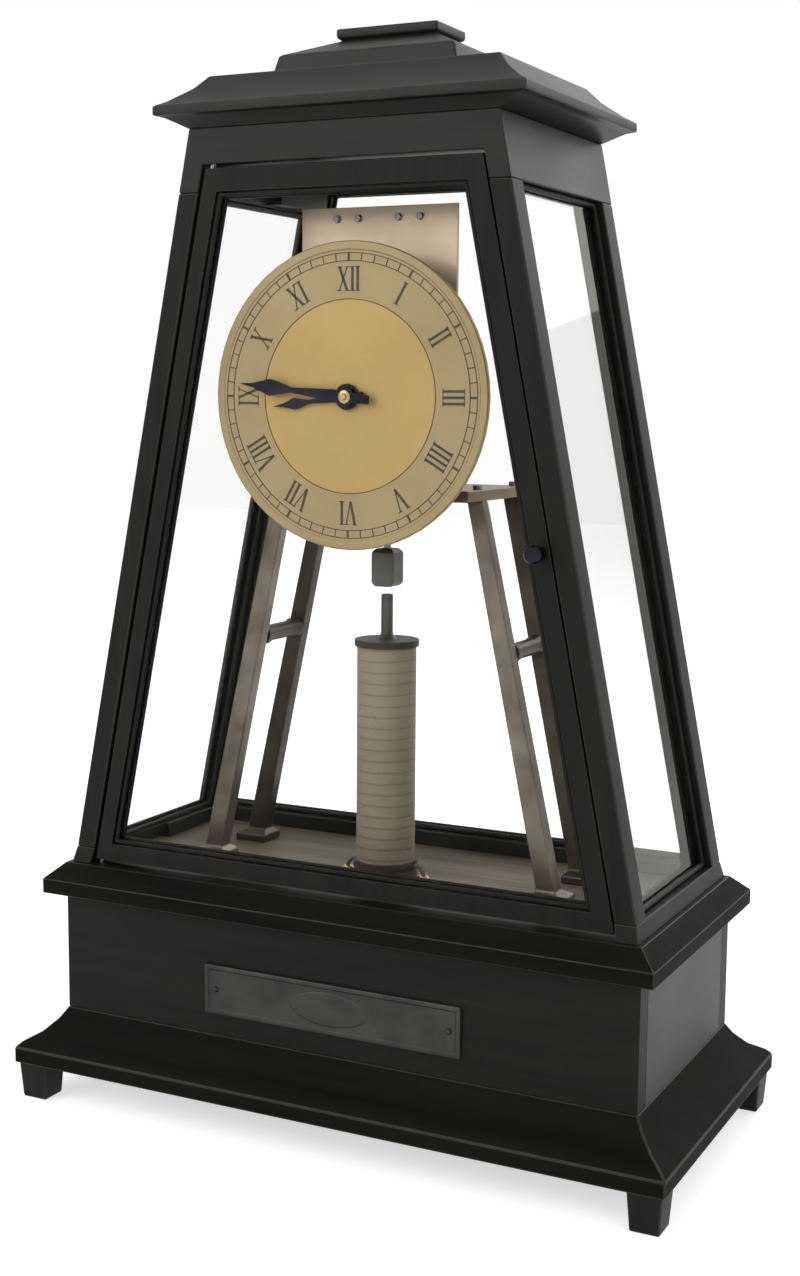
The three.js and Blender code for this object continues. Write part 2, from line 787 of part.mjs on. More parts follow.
// Places of the arbors, from the centres of the wheels that mesh.
const centreToIntermediate = trainModule * (centreWheelTeeth + pinionTeeth) / 2;
const intermediateToCount = trainModule * (intermediateWheelTeeth + pinionTeeth) / 2;
const squareDifference = centreToIntermediate ** 2 - intermediateToCount ** 2;
const intermediateRise = (squareDifference / countArborRise + countArborRise) / 2;
const intermediateX = -Math.sqrt(centreToIntermediate ** 2 - intermediateRise ** 2);
const intermediateZ = dialCentre + intermediateRise;
const minuteWheelDrop = cannonModule * (cannonTeeth + minuteWheelTeeth) / 2;
const minuteWheelZ = dialCentre - minuteWheelDrop;
const hourModule = 2 * minuteWheelDrop / (minutePinionTeeth + hourWheelTeeth);

// The pillars stand clear of the intermediate wheel, and the plates reach a margin past them.
const toothTipShare = 0.75;
const toothRootShare = 1.15;
const intermediateTip = trainModule * (intermediateWheelTeeth / 2 + toothTipShare);
const pillarReach = intermediateTip + pillarRadius + pillarClearance;
const pillarX = -intermediateX + pillarReach * Math.cos(THREE.MathUtils.degToRad(pillarBearing));
const pillarZ = intermediateZ + pillarReach * Math.sin(THREE.MathUtils.degToRad(pillarBearing));
const frontPlateHalf = pillarX + plateMargin;
const frontPlateTop = pillarZ + plateMargin;
const backPlateHalf = frontPlateHalf + backPlateOverhang;
const backPlateTop = suspensionLevel + suspensionMargin;

// Outline of a toothed wheel in the X-Z plane, with the middle of one tooth at startAngle.
const toothTipWidthShare = 0.12;
const toothRootWidthShare = 0.29;

function toothedOutline(teeth, toothModule, startAngle) {
  const pitch = teeth * toothModule / 2;
  const tip = pitch + toothModule * toothTipShare;
  const root = pitch - toothModule * toothRootShare;
  const step = 2 * Math.PI / teeth;
  const points = [];
  for (let i = 0; i < teeth; i += 1) {
    const middle = startAngle + i * step;
    const corners = [
      [root, -toothRootWidthShare],
      [tip, -toothTipWidthShare],
      [tip, toothTipWidthShare],
      [root, toothRootWidthShare],
    ];
    for (const [radius, share] of corners) {
      const angle = middle + share * step;
      points.push([radius * Math.cos(angle), radius * Math.sin(angle)]);
    }
  }
  return polygon(points);
}

// Cuts windows between four spokes into a wheel's outline.
const spokes = 4;

function crossOut(shape, hubRadius, rimRadius, spokeWidth) {
  for (let i = 0; i < spokes; i += 1) {
    const start = i * 2 * Math.PI / spokes;
    const end = start + 2 * Math.PI / spokes;
    const inner = Math.asin(spokeWidth / 2 / hubRadius);
    const outer = Math.asin(spokeWidth / 2 / rimRadius);
    const window = new THREE.Path();
    window.absarc(0, 0, rimRadius, start + outer, end - outer, false);
    window.absarc(0, 0, hubRadius, end - inner, start + inner, true);
    window.closePath();
    shape.holes.push(window);
  }
  return shape;
}

function rimRadiusOf(teeth, toothModule) {
  return toothModule * (teeth / 2 - toothRootShare) - 2 * toothModule;
}

function arborHole(radius, x, z) {
  const low = frontPlateFront - cutOverrun;
  const profile = rodProfile(radius + runningGap, low, backPlateBack + cutOverrun);
  return turnedAlongY(profile, 20).translate(x, 0, z);
}

function trainHoles() {
  return [
    arborHole(centreArborRadius, 0, dialCentre),
    arborHole(arborRadius, intermediateX, intermediateZ),
    arborHole(arborRadius, 0, countZ),
  ];
}

// The front plate stands on the platform, and carries the stud of the minute wheel.
const studTip = dialBack + (frontPlateFront - dialBack) / 4;

function frontPlate() {
  const body = box(
    -frontPlateHalf, frontPlateHalf, frontPlateFront, frontPlateBack, platformTop, frontPlateTop,
  );
  const stud = turnedAlongY(rodProfile(arborRadius, studTip, frontPlateBack - plateThickness / 2), 16);
  stud.translate(0, 0, minuteWheelZ);
  return join(cut(body, ...trainHoles()), stud);
}

// The back plate runs up past the dial to carry the suspension.
function backPlate() {
  const body = box(
    -backPlateHalf, backPlateHalf, backPlateFront, backPlateBack, platformTop, backPlateTop,
  );
  return cut(body, ...trainHoles());
}

// Turned pillars hold the plates apart at their upper corners.
function pillar() {
  const length = plateGap;
  const radius = pillarRadius;
  const waist = radius * 0.65;
  return turnedAlongY([
    [0, 0],
    [radius, 0],
    [radius, length * 0.15],
    [waist, length * 0.25],
    [waist, length * 0.75],
    [radius, length * 0.85],
    [radius, length],
    [0, length],
  ], 12);
}

function addPlates() {
  part('movement_plate_front', frontPlate(), brass);
  part('movement_plate_back', backPlate(), rosyBrass);
  part('pillar_left', pillar(), brass, [-pillarX, frontPlateBack, pillarZ]);
  part('pillar_right', pillar(), brass, [pillarX, frontPlateBack, pillarZ]);
}

// The count wheel is pushed on tooth by tooth by the pendulum's pawl. Its arbor carries a pinion
// between the plates.
const ratchetToothDepth = 1.1;
const ratchetFront = backPlateBack + wheelThickness;
const ratchetBack = ratchetFront + wheelThickness;
const centreWheelBack = backPlateFront - wheelThickness;
const centreWheelFront = centreWheelBack - wheelThickness;
const intermediateWheelFront = centreWheelFront - 4 * wheelThickness;
const intermediateWheelBack = intermediateWheelFront + wheelThickness;
const pivotFront = frontPlateFront + seatGap;
const pivotBack = backPlateBack - seatGap;

function ratchetOutline() {
  const step = 2 * Math.PI / countWheelTeeth;
  const points = [];
  for (let i = 0; i < countWheelTeeth; i += 1) {
    const start = Math.PI / 2 - step / 2 + i * step;
    const root = countWheelRadius - ratchetToothDepth;
    points.push([countWheelRadius * Math.cos(start), countWheelRadius * Math.sin(start)]);
    const next = start + step * 0.12;
    points.push([root * Math.cos(next), root * Math.sin(next)]);
  }
  return polygon(points);
}

function countWheel() {
  const wheel = plate(ratchetOutline(), ratchetFront, ratchetBack);
  const arbor = turnedAlongY(rodProfile(arborRadius, pivotFront, ratchetBack + arborRadius), 16);
  const pinionFront = frontPlateBack + wheelThickness;
  const towards = Math.atan2(intermediateZ - countZ, intermediateX);
  const outline = toothedOutline(pinionTeeth, trainModule, towards);
  const pinion = plate(outline, pinionFront, intermediateWheelBack + wheelThickness);
  return join(wheel, arbor, pinion);
}

function intermediateWheel() {
  const step = 2 * Math.PI / intermediateWheelTeeth;
  const towardsCount = Math.atan2(countZ - intermediateZ, -intermediateX);
  const outline = toothedOutline(intermediateWheelTeeth, trainModule, towardsCount + step / 2);
  const rim = rimRadiusOf(intermediateWheelTeeth, trainModule);
  crossOut(outline, 3 * arborRadius, rim, 2 * arborRadius);
  const wheel = plate(outline, intermediateWheelFront, intermediateWheelBack);
  const towardsCentre = Math.atan2(dialCentre - intermediateZ, -intermediateX);
  const pinionOutline = toothedOutline(pinionTeeth, trainModule, towardsCentre);
  const pinionFront = intermediateWheelFront + wheelThickness / 2;
  const pinion = plate(pinionOutline, pinionFront, centreWheelBack + wheelThickness / 2);
  const arbor = turnedAlongY(rodProfile(arborRadius, pivotFront, pivotBack), 16);
  return join(wheel, pinion, arbor);
}

function centreWheel() {
  const step = 2 * Math.PI / centreWheelTeeth;
  const towards = Math.atan2(intermediateZ - dialCentre, intermediateX);
  const outline = toothedOutline(centreWheelTeeth, trainModule, towards + step / 2);
  const rim = rimRadiusOf(centreWheelTeeth, trainModule);
  crossOut(outline, 3 * centreArborRadius, rim, 2 * centreArborRadius);
  const wheel = plate(outline, centreWheelFront, centreWheelBack);
  const arbor = turnedAlongY(rodProfile(centreArborRadius, arborTip, pivotBack), 16);
  return join(wheel, arbor);
}

// The cannon pinion is a pipe over the centre arbor that carries the minute hand.
const cannonInner = centreArborRadius + runningGap;
const cannonOuter = cannonInner + 0.8 * handThickness;
const hourPipeInner = cannonOuter + runningGap;
const hourPipeOuter = hourPipeInner + 0.8 * handThickness;
const cannonBack = frontPlateFront - seatGap;
const cannonFront = cannonBack - 1.5 * wheelThickness;
const minuteWheelBack = cannonBack - wheelThickness / 4;
const minuteWheelFront = minuteWheelBack - wheelThickness;
const hourWheelBack = minuteWheelFront - wheelThickness;
const hourWheelFront = hourWheelBack - wheelThickness;

function cannonPinion() {
  const pipeFront = minuteHandBack - handThickness;
  const pipe = turnedAlongY(pipeProfile(cannonInner, cannonOuter, pipeFront, cannonBack), 20);
  const outline = toothedOutline(cannonTeeth, cannonModule, -Math.PI / 2);
  outline.holes.push(roundHole(0, 0, cannonInner + handThickness / 4));
  return join(pipe, plate(outline, cannonFront, cannonBack));
}

function minuteWheel() {
  const step = 2 * Math.PI / minuteWheelTeeth;
  const outline = toothedOutline(minuteWheelTeeth, cannonModule, Math.PI / 2 + step / 2);
  outline.holes.push(roundHole(0, 0, arborRadius + runningGap));
  const wheel = plate(outline, minuteWheelFront, minuteWheelBack);
  const pinionOutline = toothedOutline(minutePinionTeeth, hourModule, Math.PI / 2);
  pinionOutline.holes.push(roundHole(0, 0, arborRadius + runningGap));
  const pinionFront = hourWheelFront - wheelThickness / 4;
  const pinion = plate(pinionOutline, pinionFront, minuteWheelFront + wheelThickness / 2);
  return join(wheel, pinion);
}

function hourWheel() {
  const step = 2 * Math.PI / hourWheelTeeth;
  const outline = toothedOutline(hourWheelTeeth, hourModule, -Math.PI / 2 + step / 2);
  outline.holes.push(roundHole(0, 0, hourPipeInner + handThickness / 4));
  const wheel = plate(outline, hourWheelFront, hourWheelBack);
  const pipeFront = hourHandBack - handThickness;
  const pipe = turnedAlongY(pipeProfile(hourPipeInner, hourPipeOuter, pipeFront, hourWheelBack), 20);
  return join(wheel, pipe);
}

// A leaf-shaped hand with a round boss, drawn pointing up and then turned to the time.
function hand(length, bossRadius, holeRadius) {
  const tail = length * 0.22;
  const bladeShares = [[0.05, 0.1], [0.022, 0.5], [0.07, 0.7], [0.02, 0.86]];
  const right = bladeShares.map(([x, z]) => [x * length, z * length]);
  const left = right.map(([x, z]) => [-x, z]).reverse();
  const tailHalf = length * 0.035;
  const blade = polygon([[-tailHalf, -tail], [tailHalf, -tail], ...right, [0, length], ...left]);
  const boss = turnedAlongY(rodProfile(bossRadius, 0, handThickness), 20);
  const body = join(plate(blade, 0, handThickness), boss);
  const hole = turnedAlongY(rodProfile(holeRadius, -cutOverrun, handThickness + cutOverrun), 20);
  return cut(body, hole);
}

// The hands stand at fourteen minutes to nine.
const minutesShown = 46;
const hoursShown = 8 + minutesShown / 60;

function addHands() {
  const minuteHand = hand(minuteHandLength, 2 * cannonOuter, cannonOuter + runningGap);
  const minutePlace = [0, minuteHandBack - handThickness, dialCentre];
  const minute = part('minute_hand', minuteHand, blackenedSteel, minutePlace);
  minute.rotation.y = minutesShown / 60 * 2 * Math.PI;
  const hourHand = hand(hourHandLength, 1.8 * hourPipeOuter, hourPipeOuter + runningGap);
  const hourPlace = [0, hourHandBack - handThickness, dialCentre];
  const hour = part('hour_hand', hourHand, blackenedSteel, hourPlace);
  hour.rotation.y = hoursShown / 12 * 2 * Math.PI;
}

function addTrain() {
  part('count_wheel', countWheel(), brass, [0, 0, countZ]);
  part('intermediate_wheel', intermediateWheel(), brass, [intermediateX, 0, intermediateZ]);
  part('centre_wheel', centreWheel(), brass, [0, 0, dialCentre]);
  part('cannon_pinion', cannonPinion(), steel, [0, 0, dialCentre]);
  part('minute_wheel', minuteWheel(), brass, [0, 0, minuteWheelZ]);
  part('hour_wheel', hourWheel(), brass, [0, 0, dialCentre]);
}

// The gilt dial: a disc with a raised outer ring and three feet to the front plate.
const dialRingShare = 0.94;
const dialRingRise = 0.4;

function dial() {
  const hole = hourPipeOuter + runningGap;
  const ring = dialRadius * dialRingShare;
  const disc = turnedAlongY([
    [hole, dialFront],
    [ring, dialFront],
    [ring + dialRingRise, dialFront - dialRingRise],
    [dialRadius - dialRingRise, dialFront - dialRingRise],
    [dialRadius, dialFront],
    [dialRadius, dialBack],
    [hole, dialBack],
    [hole, dialFront],
  ], 56);
  const footRadius = dialThickness * 0.8;
  const reach = frontPlateHalf - 2 * footRadius;
  const places = [[-reach, 0], [reach, 0], [0, frontPlateTop - dialCentre - 2 * footRadius]];
  const feet = places.map(([x, z]) => {
    const profile = rodProfile(footRadius, dialBack - dialThickness / 2, frontPlateFront - seatGap);
    return turnedAlongY(profile, 12).translate(x, 0, z);
  });
  return join(disc, ...feet);
}

// The suspension cock: a block on the back plate with a stud that the pendulum's eye hangs on.
const studRadius = eyeRadius - 2 * runningGap - rodRadius;

function suspensionCock() {
  const blockBack = pendulumPlane - 2.5 * rodRadius;
  const half = eyeRadius * 1.7;
  const low = suspensionLevel - half;
  const block = box(-half, half, backPlateBack, blockBack, low, low + 2 * half);
  const headFront = pendulumPlane + 1.5 * rodRadius;
  const stud = turnedAlongY([
    [0, blockBack - rodRadius],
    [studRadius, blockBack - rodRadius],
    [studRadius, headFront],
    [eyeRadius * 0.85, headFront],
    [eyeRadius * 0.85, headFront + rodRadius],
    [0, headFront + rodRadius],
  ], 20).translate(0, 0, suspensionLevel);
  return join(block, stud);
}

// The pendulum rod: an eye at the top, a side arm that carries the pawl, and a plain foot.
const pawlDrop = suspensionLevel - (countZ + countWheelRadius) - 3;
const pawlPivotX = -10;
const pawlThickness = 0.8;

function pendulumRod() {
  const eyeHole = studRadius + runningGap;
  const eye = turnedAlongY(pipeProfile(eyeHole, eyeRadius, -rodRadius, rodRadius), 24);
  const foot = suspensionLevel - armatureLevel - armatureHeight / 2;
  const rod = turnedAlongZ(rodProfile(rodRadius, -foot, -(eyeRadius + eyeHole) / 2), 16);
  const arm = turnedAlongZ(rodProfile(rodRadius * 0.8, 0, Math.abs(pawlPivotX)), 12);
  arm.rotateY(-Math.PI / 2);
  arm.translate(0, 0, -pawlDrop);
  const pinFront = ratchetFront - pendulumPlane - pawlThickness;
  const pin = turnedAlongY(rodProfile(rodRadius * 0.6, pinFront, 0), 12);
  pin.translate(pawlPivotX, 0, -pawlDrop);
  return join(eye, rod, arm, pin);
}

// The driving pawl hangs on the side arm; its nose lies just over the teeth of the count wheel.
function drivingPawl() {
  const hub = rodRadius * 1.3;
  const holeRadius = rodRadius * 0.6 + runningGap;
  const reach = -pawlPivotX;
  const pivotLevel = suspensionLevel - pawlDrop;
  const tip = countZ + countWheelRadius + seatGap - pivotLevel;
  const arm = hub * 0.5;
  const outline = polygon([
    [0, -arm],
    [reach - arm, -arm],
    [reach - arm * 0.6, tip],
    [reach + arm * 0.4, tip],
    [reach + arm, arm],
    [0, arm],
  ]);
  const front = ratchetFront;
  const back = front + pawlThickness;
  const body = join(plate(outline, front, back), turnedAlongY(rodProfile(hub, front, back), 20));
  const hole = turnedAlongY(rodProfile(holeRadius, front - cutOverrun, back + cutOverrun), 16);
  return cut(body, hole);
}

// The bob is a brass lens that slides on the rod, held up by the rating nut below it.
function pendulumBob() {
  const rim = bobThickness / 2;
  const lens = turnedAlongY([
    [0, -rim],
    [bobRadius * 0.8, -rim],
    [bobRadius, -rim * 0.3],
    [bobRadius, rim * 0.3],
    [bobRadius * 0.8, rim],
    [0, rim],
  ], 36);
  const reach = bobRadius + cutOverrun;
  return cut(lens, turnedAlongZ(rodProfile(rodRadius + runningGap, -reach, reach), 16));
}

function ratingNut() {
  const bore = rodRadius + runningGap;
  return turnedAlongZ([
    [bore, 0],
    [nutRadius * 0.9, 0],
    [nutRadius, nutHeight * 0.12],
    [nutRadius, nutHeight * 0.7],
    [nutRadius * 0.7, nutHeight * 0.75],
    [nutRadius * 0.6, nutHeight],
    [bore, nutHeight],
    [bore, 0],
  ], 20);
}

// The iron armature sits on the foot of the rod, just above the pole of the magnet.
function armature() {
  const half = armatureWidth / 2;
  const crown = armatureWidth * 0.15;
  const block = loft([
    rectangle(0, half - crown, half),
    rectangle(crown, half, half),
    rectangle(armatureHeight - crown, half, half),
    rectangle(armatureHeight, half - crown, half - crown),
  ]);
  const depth = armatureHeight / 2 - seatGap;
  const socket = rodProfile(rodRadius + runningGap, depth, armatureHeight + cutOverrun);
  return cut(block, turnedAlongZ(socket, 16));
}

function addPendulum() {
  part('suspension_cock', suspensionCock(), steel);
  const pivot = [0, pendulumPlane, suspensionLevel];
  part('pendulum_rod', pendulumRod(), steel, pivot);
  part('pendulum_bob', pendulumBob(), brass, [0, pendulumPlane, bobLevel]);
  part('rating_nut', ratingNut(), brass, [0, pendulumPlane, nutLevel]);
  part('armature', armature(), softIron, [0, pendulumPlane, armatureLevel]);
  part('driving_pawl', drivingPawl(), steel, [pawlPivotX, 0, suspensionLevel - pawlDrop]);
}

// The electromagnet: an iron core with a foot flange, a long wrapped coil and a thin pole tip.
function magnetCore() {
  const coilTop = coilBase + coilHeight - floorLevel;
  const tip = poleTipLevel - floorLevel;
  return turnedAlongZ([
    [0, 0],
    [coreFootRadius, 0],
    [coreFootRadius, coreFootHeight],
    [coreRadius, coreFootHeight],
    [coreRadius, coilTop],
    [poleTipRadius, coilTop + coreRadius / 2],
    [poleTipRadius, tip],
    [0, tip],
  ]);
}

function wrappedWinding() {
  const bore = coreRadius + runningGap;
  const low = coilCheekThickness;
  const high = coilHeight - coilCheekThickness;
  return turnedAlongZ([
    [bore, 0],
    [coilCheekRadius, 0],
    [coilCheekRadius, low],
    [coilRadius, low],
    [coilRadius, high],
    [coilCheekRadius, high],
    [coilCheekRadius, coilHeight],
    [bore, coilHeight],
    [bore, 0],
  ], 24);
}

function addMagnet() {
  part('magnet_core', magnetCore(), softIron, [0, pendulumPlane, floorLevel]);
  part('magnet_coil', wrappedWinding(), wrappedCoil, [0, pendulumPlane, coilBase]);
  part('battery_lead_left', batteryLead(-1), braid);
  part('battery_lead_right', batteryLead(1), braid);
}

addFeet();
addBatteryBox();
part('dry_battery', dryBattery(), card);
addCage();
addDoor();
addStand();
addPlates();
part('dial', dial(), gilt, [0, 0, dialCentre]);
addTrain();
addHands();
addPendulum();
addMagnet();

export default group;
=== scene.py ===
import math

import bpy
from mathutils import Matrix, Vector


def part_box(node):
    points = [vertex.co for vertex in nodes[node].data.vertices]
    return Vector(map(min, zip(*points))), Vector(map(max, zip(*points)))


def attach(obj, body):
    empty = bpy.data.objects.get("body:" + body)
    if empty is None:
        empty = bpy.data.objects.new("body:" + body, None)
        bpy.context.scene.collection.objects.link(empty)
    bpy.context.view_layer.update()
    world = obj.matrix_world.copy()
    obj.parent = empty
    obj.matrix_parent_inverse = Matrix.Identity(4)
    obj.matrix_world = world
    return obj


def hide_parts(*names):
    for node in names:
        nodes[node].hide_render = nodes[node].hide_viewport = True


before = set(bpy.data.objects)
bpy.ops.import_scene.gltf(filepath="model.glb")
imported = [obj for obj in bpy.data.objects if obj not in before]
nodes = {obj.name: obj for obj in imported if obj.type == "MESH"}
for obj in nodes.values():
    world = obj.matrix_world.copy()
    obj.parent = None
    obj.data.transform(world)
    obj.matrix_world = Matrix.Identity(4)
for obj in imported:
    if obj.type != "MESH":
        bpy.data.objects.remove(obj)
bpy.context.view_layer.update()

# The camera stands to the right of the clock and a little above the dial, as in the picture:
# the front of the case and the whole of its right side show, and a strip of each moulding.
camera_place = (0.29875, -0.59559, 0.27131)
camera_turn = (82.25, -0.44, 26.59)
lens_length = 50.685
bpy.ops.object.select_all(action="DESELECT")
bpy.ops.object.camera_add(
    location=camera_place, rotation=[math.radians(angle) for angle in camera_turn])
camera = bpy.context.object
camera.data.lens = lens_length
camera.data.clip_start = 0.02
bpy.context.scene.camera = camera
bpy.context.scene.view_settings.view_transform = "Standard"


# The studio is a white room with a paper floor and three soft lamps. Its materials, and every
# finish after them, are written as arithmetic on Flow values, which add the nodes for it.
class Flow:
    """A value on its way through the nodes of one finish."""

    def __init__(self, finish, socket):
        self.finish = finish
        self.socket = socket

    def reckoned(self, operation, first, second=0.0):
        return self.finish.add("ShaderNodeMath", {"operation": operation}, {0: first, 1: second})

    def __add__(self, other):
        return self.reckoned("ADD", self, other)

    def __radd__(self, other):
        return self.reckoned("ADD", other, self)

    def __sub__(self, other):
        return self.reckoned("SUBTRACT", self, other)

    def __rsub__(self, other):
        return self.reckoned("SUBTRACT", other, self)

    def __mul__(self, other):
        return self.reckoned("MULTIPLY", self, other)

    def __rmul__(self, other):
        return self.reckoned("MULTIPLY", other, self)

    def __pow__(self, other):
        return self.reckoned("POWER", self, other)

    def at_most(self, other):
        return self.reckoned("MINIMUM", self, other)

    def at_least(self, other):
        return self.reckoned("MAXIMUM", self, other)

    def within_one(self):
        return self.at_least(0.0).at_most(1.0)

    def unsigned(self):
        return self.reckoned("ABSOLUTE", self)

    def fraction(self):
        return self.reckoned("FRACT", self)


class Finish:
    """A surface finish: a material, its shader, and one way to add any node to it."""

    def __init__(self, name, tree_owner=None):
        self.material = tree_owner or bpy.data.materials.new(name)
        self.material.use_nodes = True
        self.tree = self.material.node_tree
        self.shader = self.tree.nodes.get("Principled BSDF")

    def add(self, kind, settings, sockets, output=0):
        node = self.tree.nodes.new(kind)
        for name, value in settings.items():
            if name == "stops":
                ramp = node.color_ramp
                while len(ramp.elements) < len(value):
                    ramp.elements.new(0.5)
                for element, (place, colour) in zip(ramp.elements, value):
                    element.position = place
                    element.color = colour
            else:
                setattr(node, name, value)
        for name, value in sockets.items():
            self.feed(node, name, value)
        return Flow(self, node.outputs[output])

    def feed(self, node, name, value):
        if isinstance(value, Flow):
            self.tree.links.new(value.socket, node.inputs[name])
        else:
            node.inputs[name].default_value = value

    def set(self, **sockets):
        for name, value in sockets.items():
            self.feed(self.shader, name.replace("_", " "), value)

    def place(self, stretch=(1, 1, 1)):
        where = self.add("ShaderNodeTexCoord", {}, {}, "Object")
        return self.add("ShaderNodeMapping", {}, {"Vector": where, "Scale": stretch})

    def noise(self, where, scale, detail=4.0, roughness=0.55):
        sockets = {"Vector": where, "Scale": scale, "Detail": detail, "Roughness": roughness}
        return self.add("ShaderNodeTexNoise", {}, sockets, 0)

    def ramp(self, value, stops):
        stops = [(place, (*colour, 1)) for place, colour in stops]
        return self.add("ShaderNodeValToRGB", {"stops": stops}, {"Fac": value})

    def between(self, factor, first, second):
        sockets = {0: factor, 6: first, 7: second}
        return self.add("ShaderNodeMix", {"data_type": "RGBA"}, sockets, 2)

    def bump(self, height, strength, distance):
        sockets = {"Height": height, "Strength": strength, "Distance": distance}
        self.set(Normal=self.add("ShaderNodeBump", {}, sockets))


def seen_directly(finish):
    """One where the room is looked at, also in a mirror or through glass, and nought where it
    only lights the clock."""
    looked_at, mirrored, through = [
        finish.add("ShaderNodeLightPath", {}, {}, ray)
        for ray in ("Is Camera Ray", "Is Glossy Ray", "Is Transmission Ray")
    ]
    return (looked_at + mirrored + through).at_most(1.0)


world = bpy.context.scene.world or bpy.data.worlds.new("studio")
bpy.context.scene.world = world
studio = Finish("studio", world)
background = studio.tree.nodes["Background"]
room_light = 0.50
background.inputs["Color"].default_value = (1, 1, 1, 1)
studio.feed(background, "Strength", room_light + (1.0 - room_light) * seen_directly(studio))

floor_width = 6
paper_tone = 0.82
paper_glow = 0.60
bpy.ops.mesh.primitive_plane_add(size=floor_width, location=(0, 0, 0))
floor = bpy.context.object
floor.name = "studio_floor"
paper = Finish("white_paper")
paper.set(Base_Color=(paper_tone, paper_tone, paper_tone, 1), Roughness=0.9)
paper.set(Emission_Color=(1, 1, 1, 1), Emission_Strength=paper_glow * seen_directly(paper))
floor.data.materials.append(paper.material)

front_lamp = ((-0.9, -1.3, 1.1), (56, 0, -35), 1.2, 13)
side_lamp = ((1.4, -0.9, 0.9), (62, 0, 57), 1.0, 6)
back_lamp = ((0.5, 1.4, 1.1), (-52, 0, -20), 1.2, 9)
for place, turn, size, power in (front_lamp, side_lamp, back_lamp):
    bpy.ops.object.light_add(type="AREA", location=place, rotation=[math.radians(a) for a in turn])
    bpy.context.object.data.size = size
    bpy.context.object.data.energy = power


# Four small block feet of ebonised pearwood, each tapering a little to the floor, glued up
# under the corners of the plinth. The black polish is thin: fine grain shows through it, and
# the arrises are rubbed a little brown.
def ebonised(name, along, lift=1.0, sheen=0.15, rough=0.38):
    """Black polish over pearwood, with the grain running along X, Y or Z."""
    stain = Finish(name)
    across_grain, along_grain = 60, 4
    stretch = [across_grain] * 3
    stretch["XYZ".index(along)] = along_grain
    grain = stain.noise(stain.place(stretch), 3.0, 6.0, 0.6)
    cloud = stain.noise(stain.place(), 14.0, 3.0)
    tone = (grain * 0.7 + cloud * 0.3).at_most(1.0)
    # Lift scales the colour: on the rubbed arrises it is wear, on the box ends and the frieze a
    # lighter copy as painted light, and on the cornice a darker copy as painted shade.
    black = (0.0030 * lift, 0.0032 * lift, 0.0024 * lift)
    brown = (0.0110 * lift, 0.0098 * lift, 0.0066 * lift)
    stain.set(Base_Color=stain.ramp(tone, [(0.35, black), (0.75, brown)]))
    stain.set(Roughness=rough + 0.22 * cloud, Specular_IOR_Level=sheen)
    pores = stain.noise(stain.place([scale * 7 for scale in stretch]), 3.0, 2.0)
    stain.bump(pores, 0.10, 0.0001)
    return stain.material


def pick(piece):
    """Makes one piece the only one that the next steps work on."""
    bpy.ops.object.select_all(action="DESELECT")
    piece.select_set(True)
    bpy.context.view_layer.objects.active = piece


def whole_faces(piece):
    """Merges the loose triangles of a node's copy into its flat faces."""
    pick(piece)
    bpy.ops.object.mode_set(mode="EDIT")
    bpy.ops.mesh.select_all(action="SELECT")
    bpy.ops.mesh.remove_doubles(threshold=0.000002)
    bpy.ops.mesh.dissolve_limited(angle_limit=math.radians(0.5))
    bpy.ops.object.mode_set(mode="OBJECT")


def eased(node, body, finish, arris=0.0005, segments=2, worn=None):
    """The frame's own shape with its sharp edges taken off, as a maker would."""
    piece = bpy.data.objects.new(node + "_finished", nodes[node].data.copy())
    bpy.context.scene.collection.objects.link(piece)
    whole_faces(piece)
    piece.data.materials.clear()
    piece.data.materials.append(finish)
    edge = piece.modifiers.new("arris", "BEVEL")
    edge.width = arris
    edge.segments = segments
    edge.limit_method = "ANGLE"
    edge.angle_limit = math.radians(28)
    edge.use_clamp_overlap = True
    if worn:
        piece.data.materials.append(worn)
        edge.material = 1
    bpy.ops.object.modifier_apply(modifier="arris")
    evened(piece)
    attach(piece, body)
    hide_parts(node)
    return piece


def evened(piece, angle=32):
    """Smooth shading over the small faces, with the large flat ones kept flat."""
    bpy.ops.object.shade_smooth_by_angle(angle=math.radians(angle))
    flat = piece.modifiers.new("flat_faces", "WEIGHTED_NORMAL")
    flat.keep_sharp = True
    flat.weight = 90
    bpy.ops.object.modifier_apply(modifier="flat_faces")


black_upright = ebonised("ebonised_upright_grain", "Z")
rubbed = ebonised("rubbed_arris", "Z", lift=3.2, sheen=0.2)


def joinery(node, body, finish, arris=0.0005):
    """A piece of the ebonised case, with its arrises rubbed brown."""
    return eased(node, body, finish, arris, worn=rubbed)


corners = ("front_left", "front_right", "rear_left", "rear_right")
for corner in corners:
    joinery("foot_" + corner, "case", black_upright, arris=0.0007)

# The plinth board under the box: one thick board with a square lip and a hollow run along
# its edge, lying on the feet and held up to the box by six steel screws from below.
dull_black = ebonised("ebonised_plinth", "X", sheen=0.055, rough=0.54)
joinery("plinth_board", "case", dull_black, arris=0.0006)


def metal(name, dark, light, rough, scale=60.0, metallic=1.0, relief=0.05, brushed=(1, 1, 1)):
    """Metal that is clouded between two tones, with a fine tooth from files and polish."""
    surface = Finish(name)
    cloud = surface.noise(surface.place(), scale, 5.0, 0.6)
    fine = surface.noise(surface.place(brushed), scale * 9, 3.0, 0.6)
    surface.set(Base_Color=surface.ramp(cloud, [(0.32, dark), (0.68, light)]))
    surface.set(Roughness=rough - 0.06 + 0.12 * fine, Metallic=metallic)
    surface.bump(fine, relief, 0.0003)
    return surface.material


bare_steel = metal("bare_steel", dark=(0.16, 0.16, 0.165), light=(0.26, 0.26, 0.265), rough=0.34)


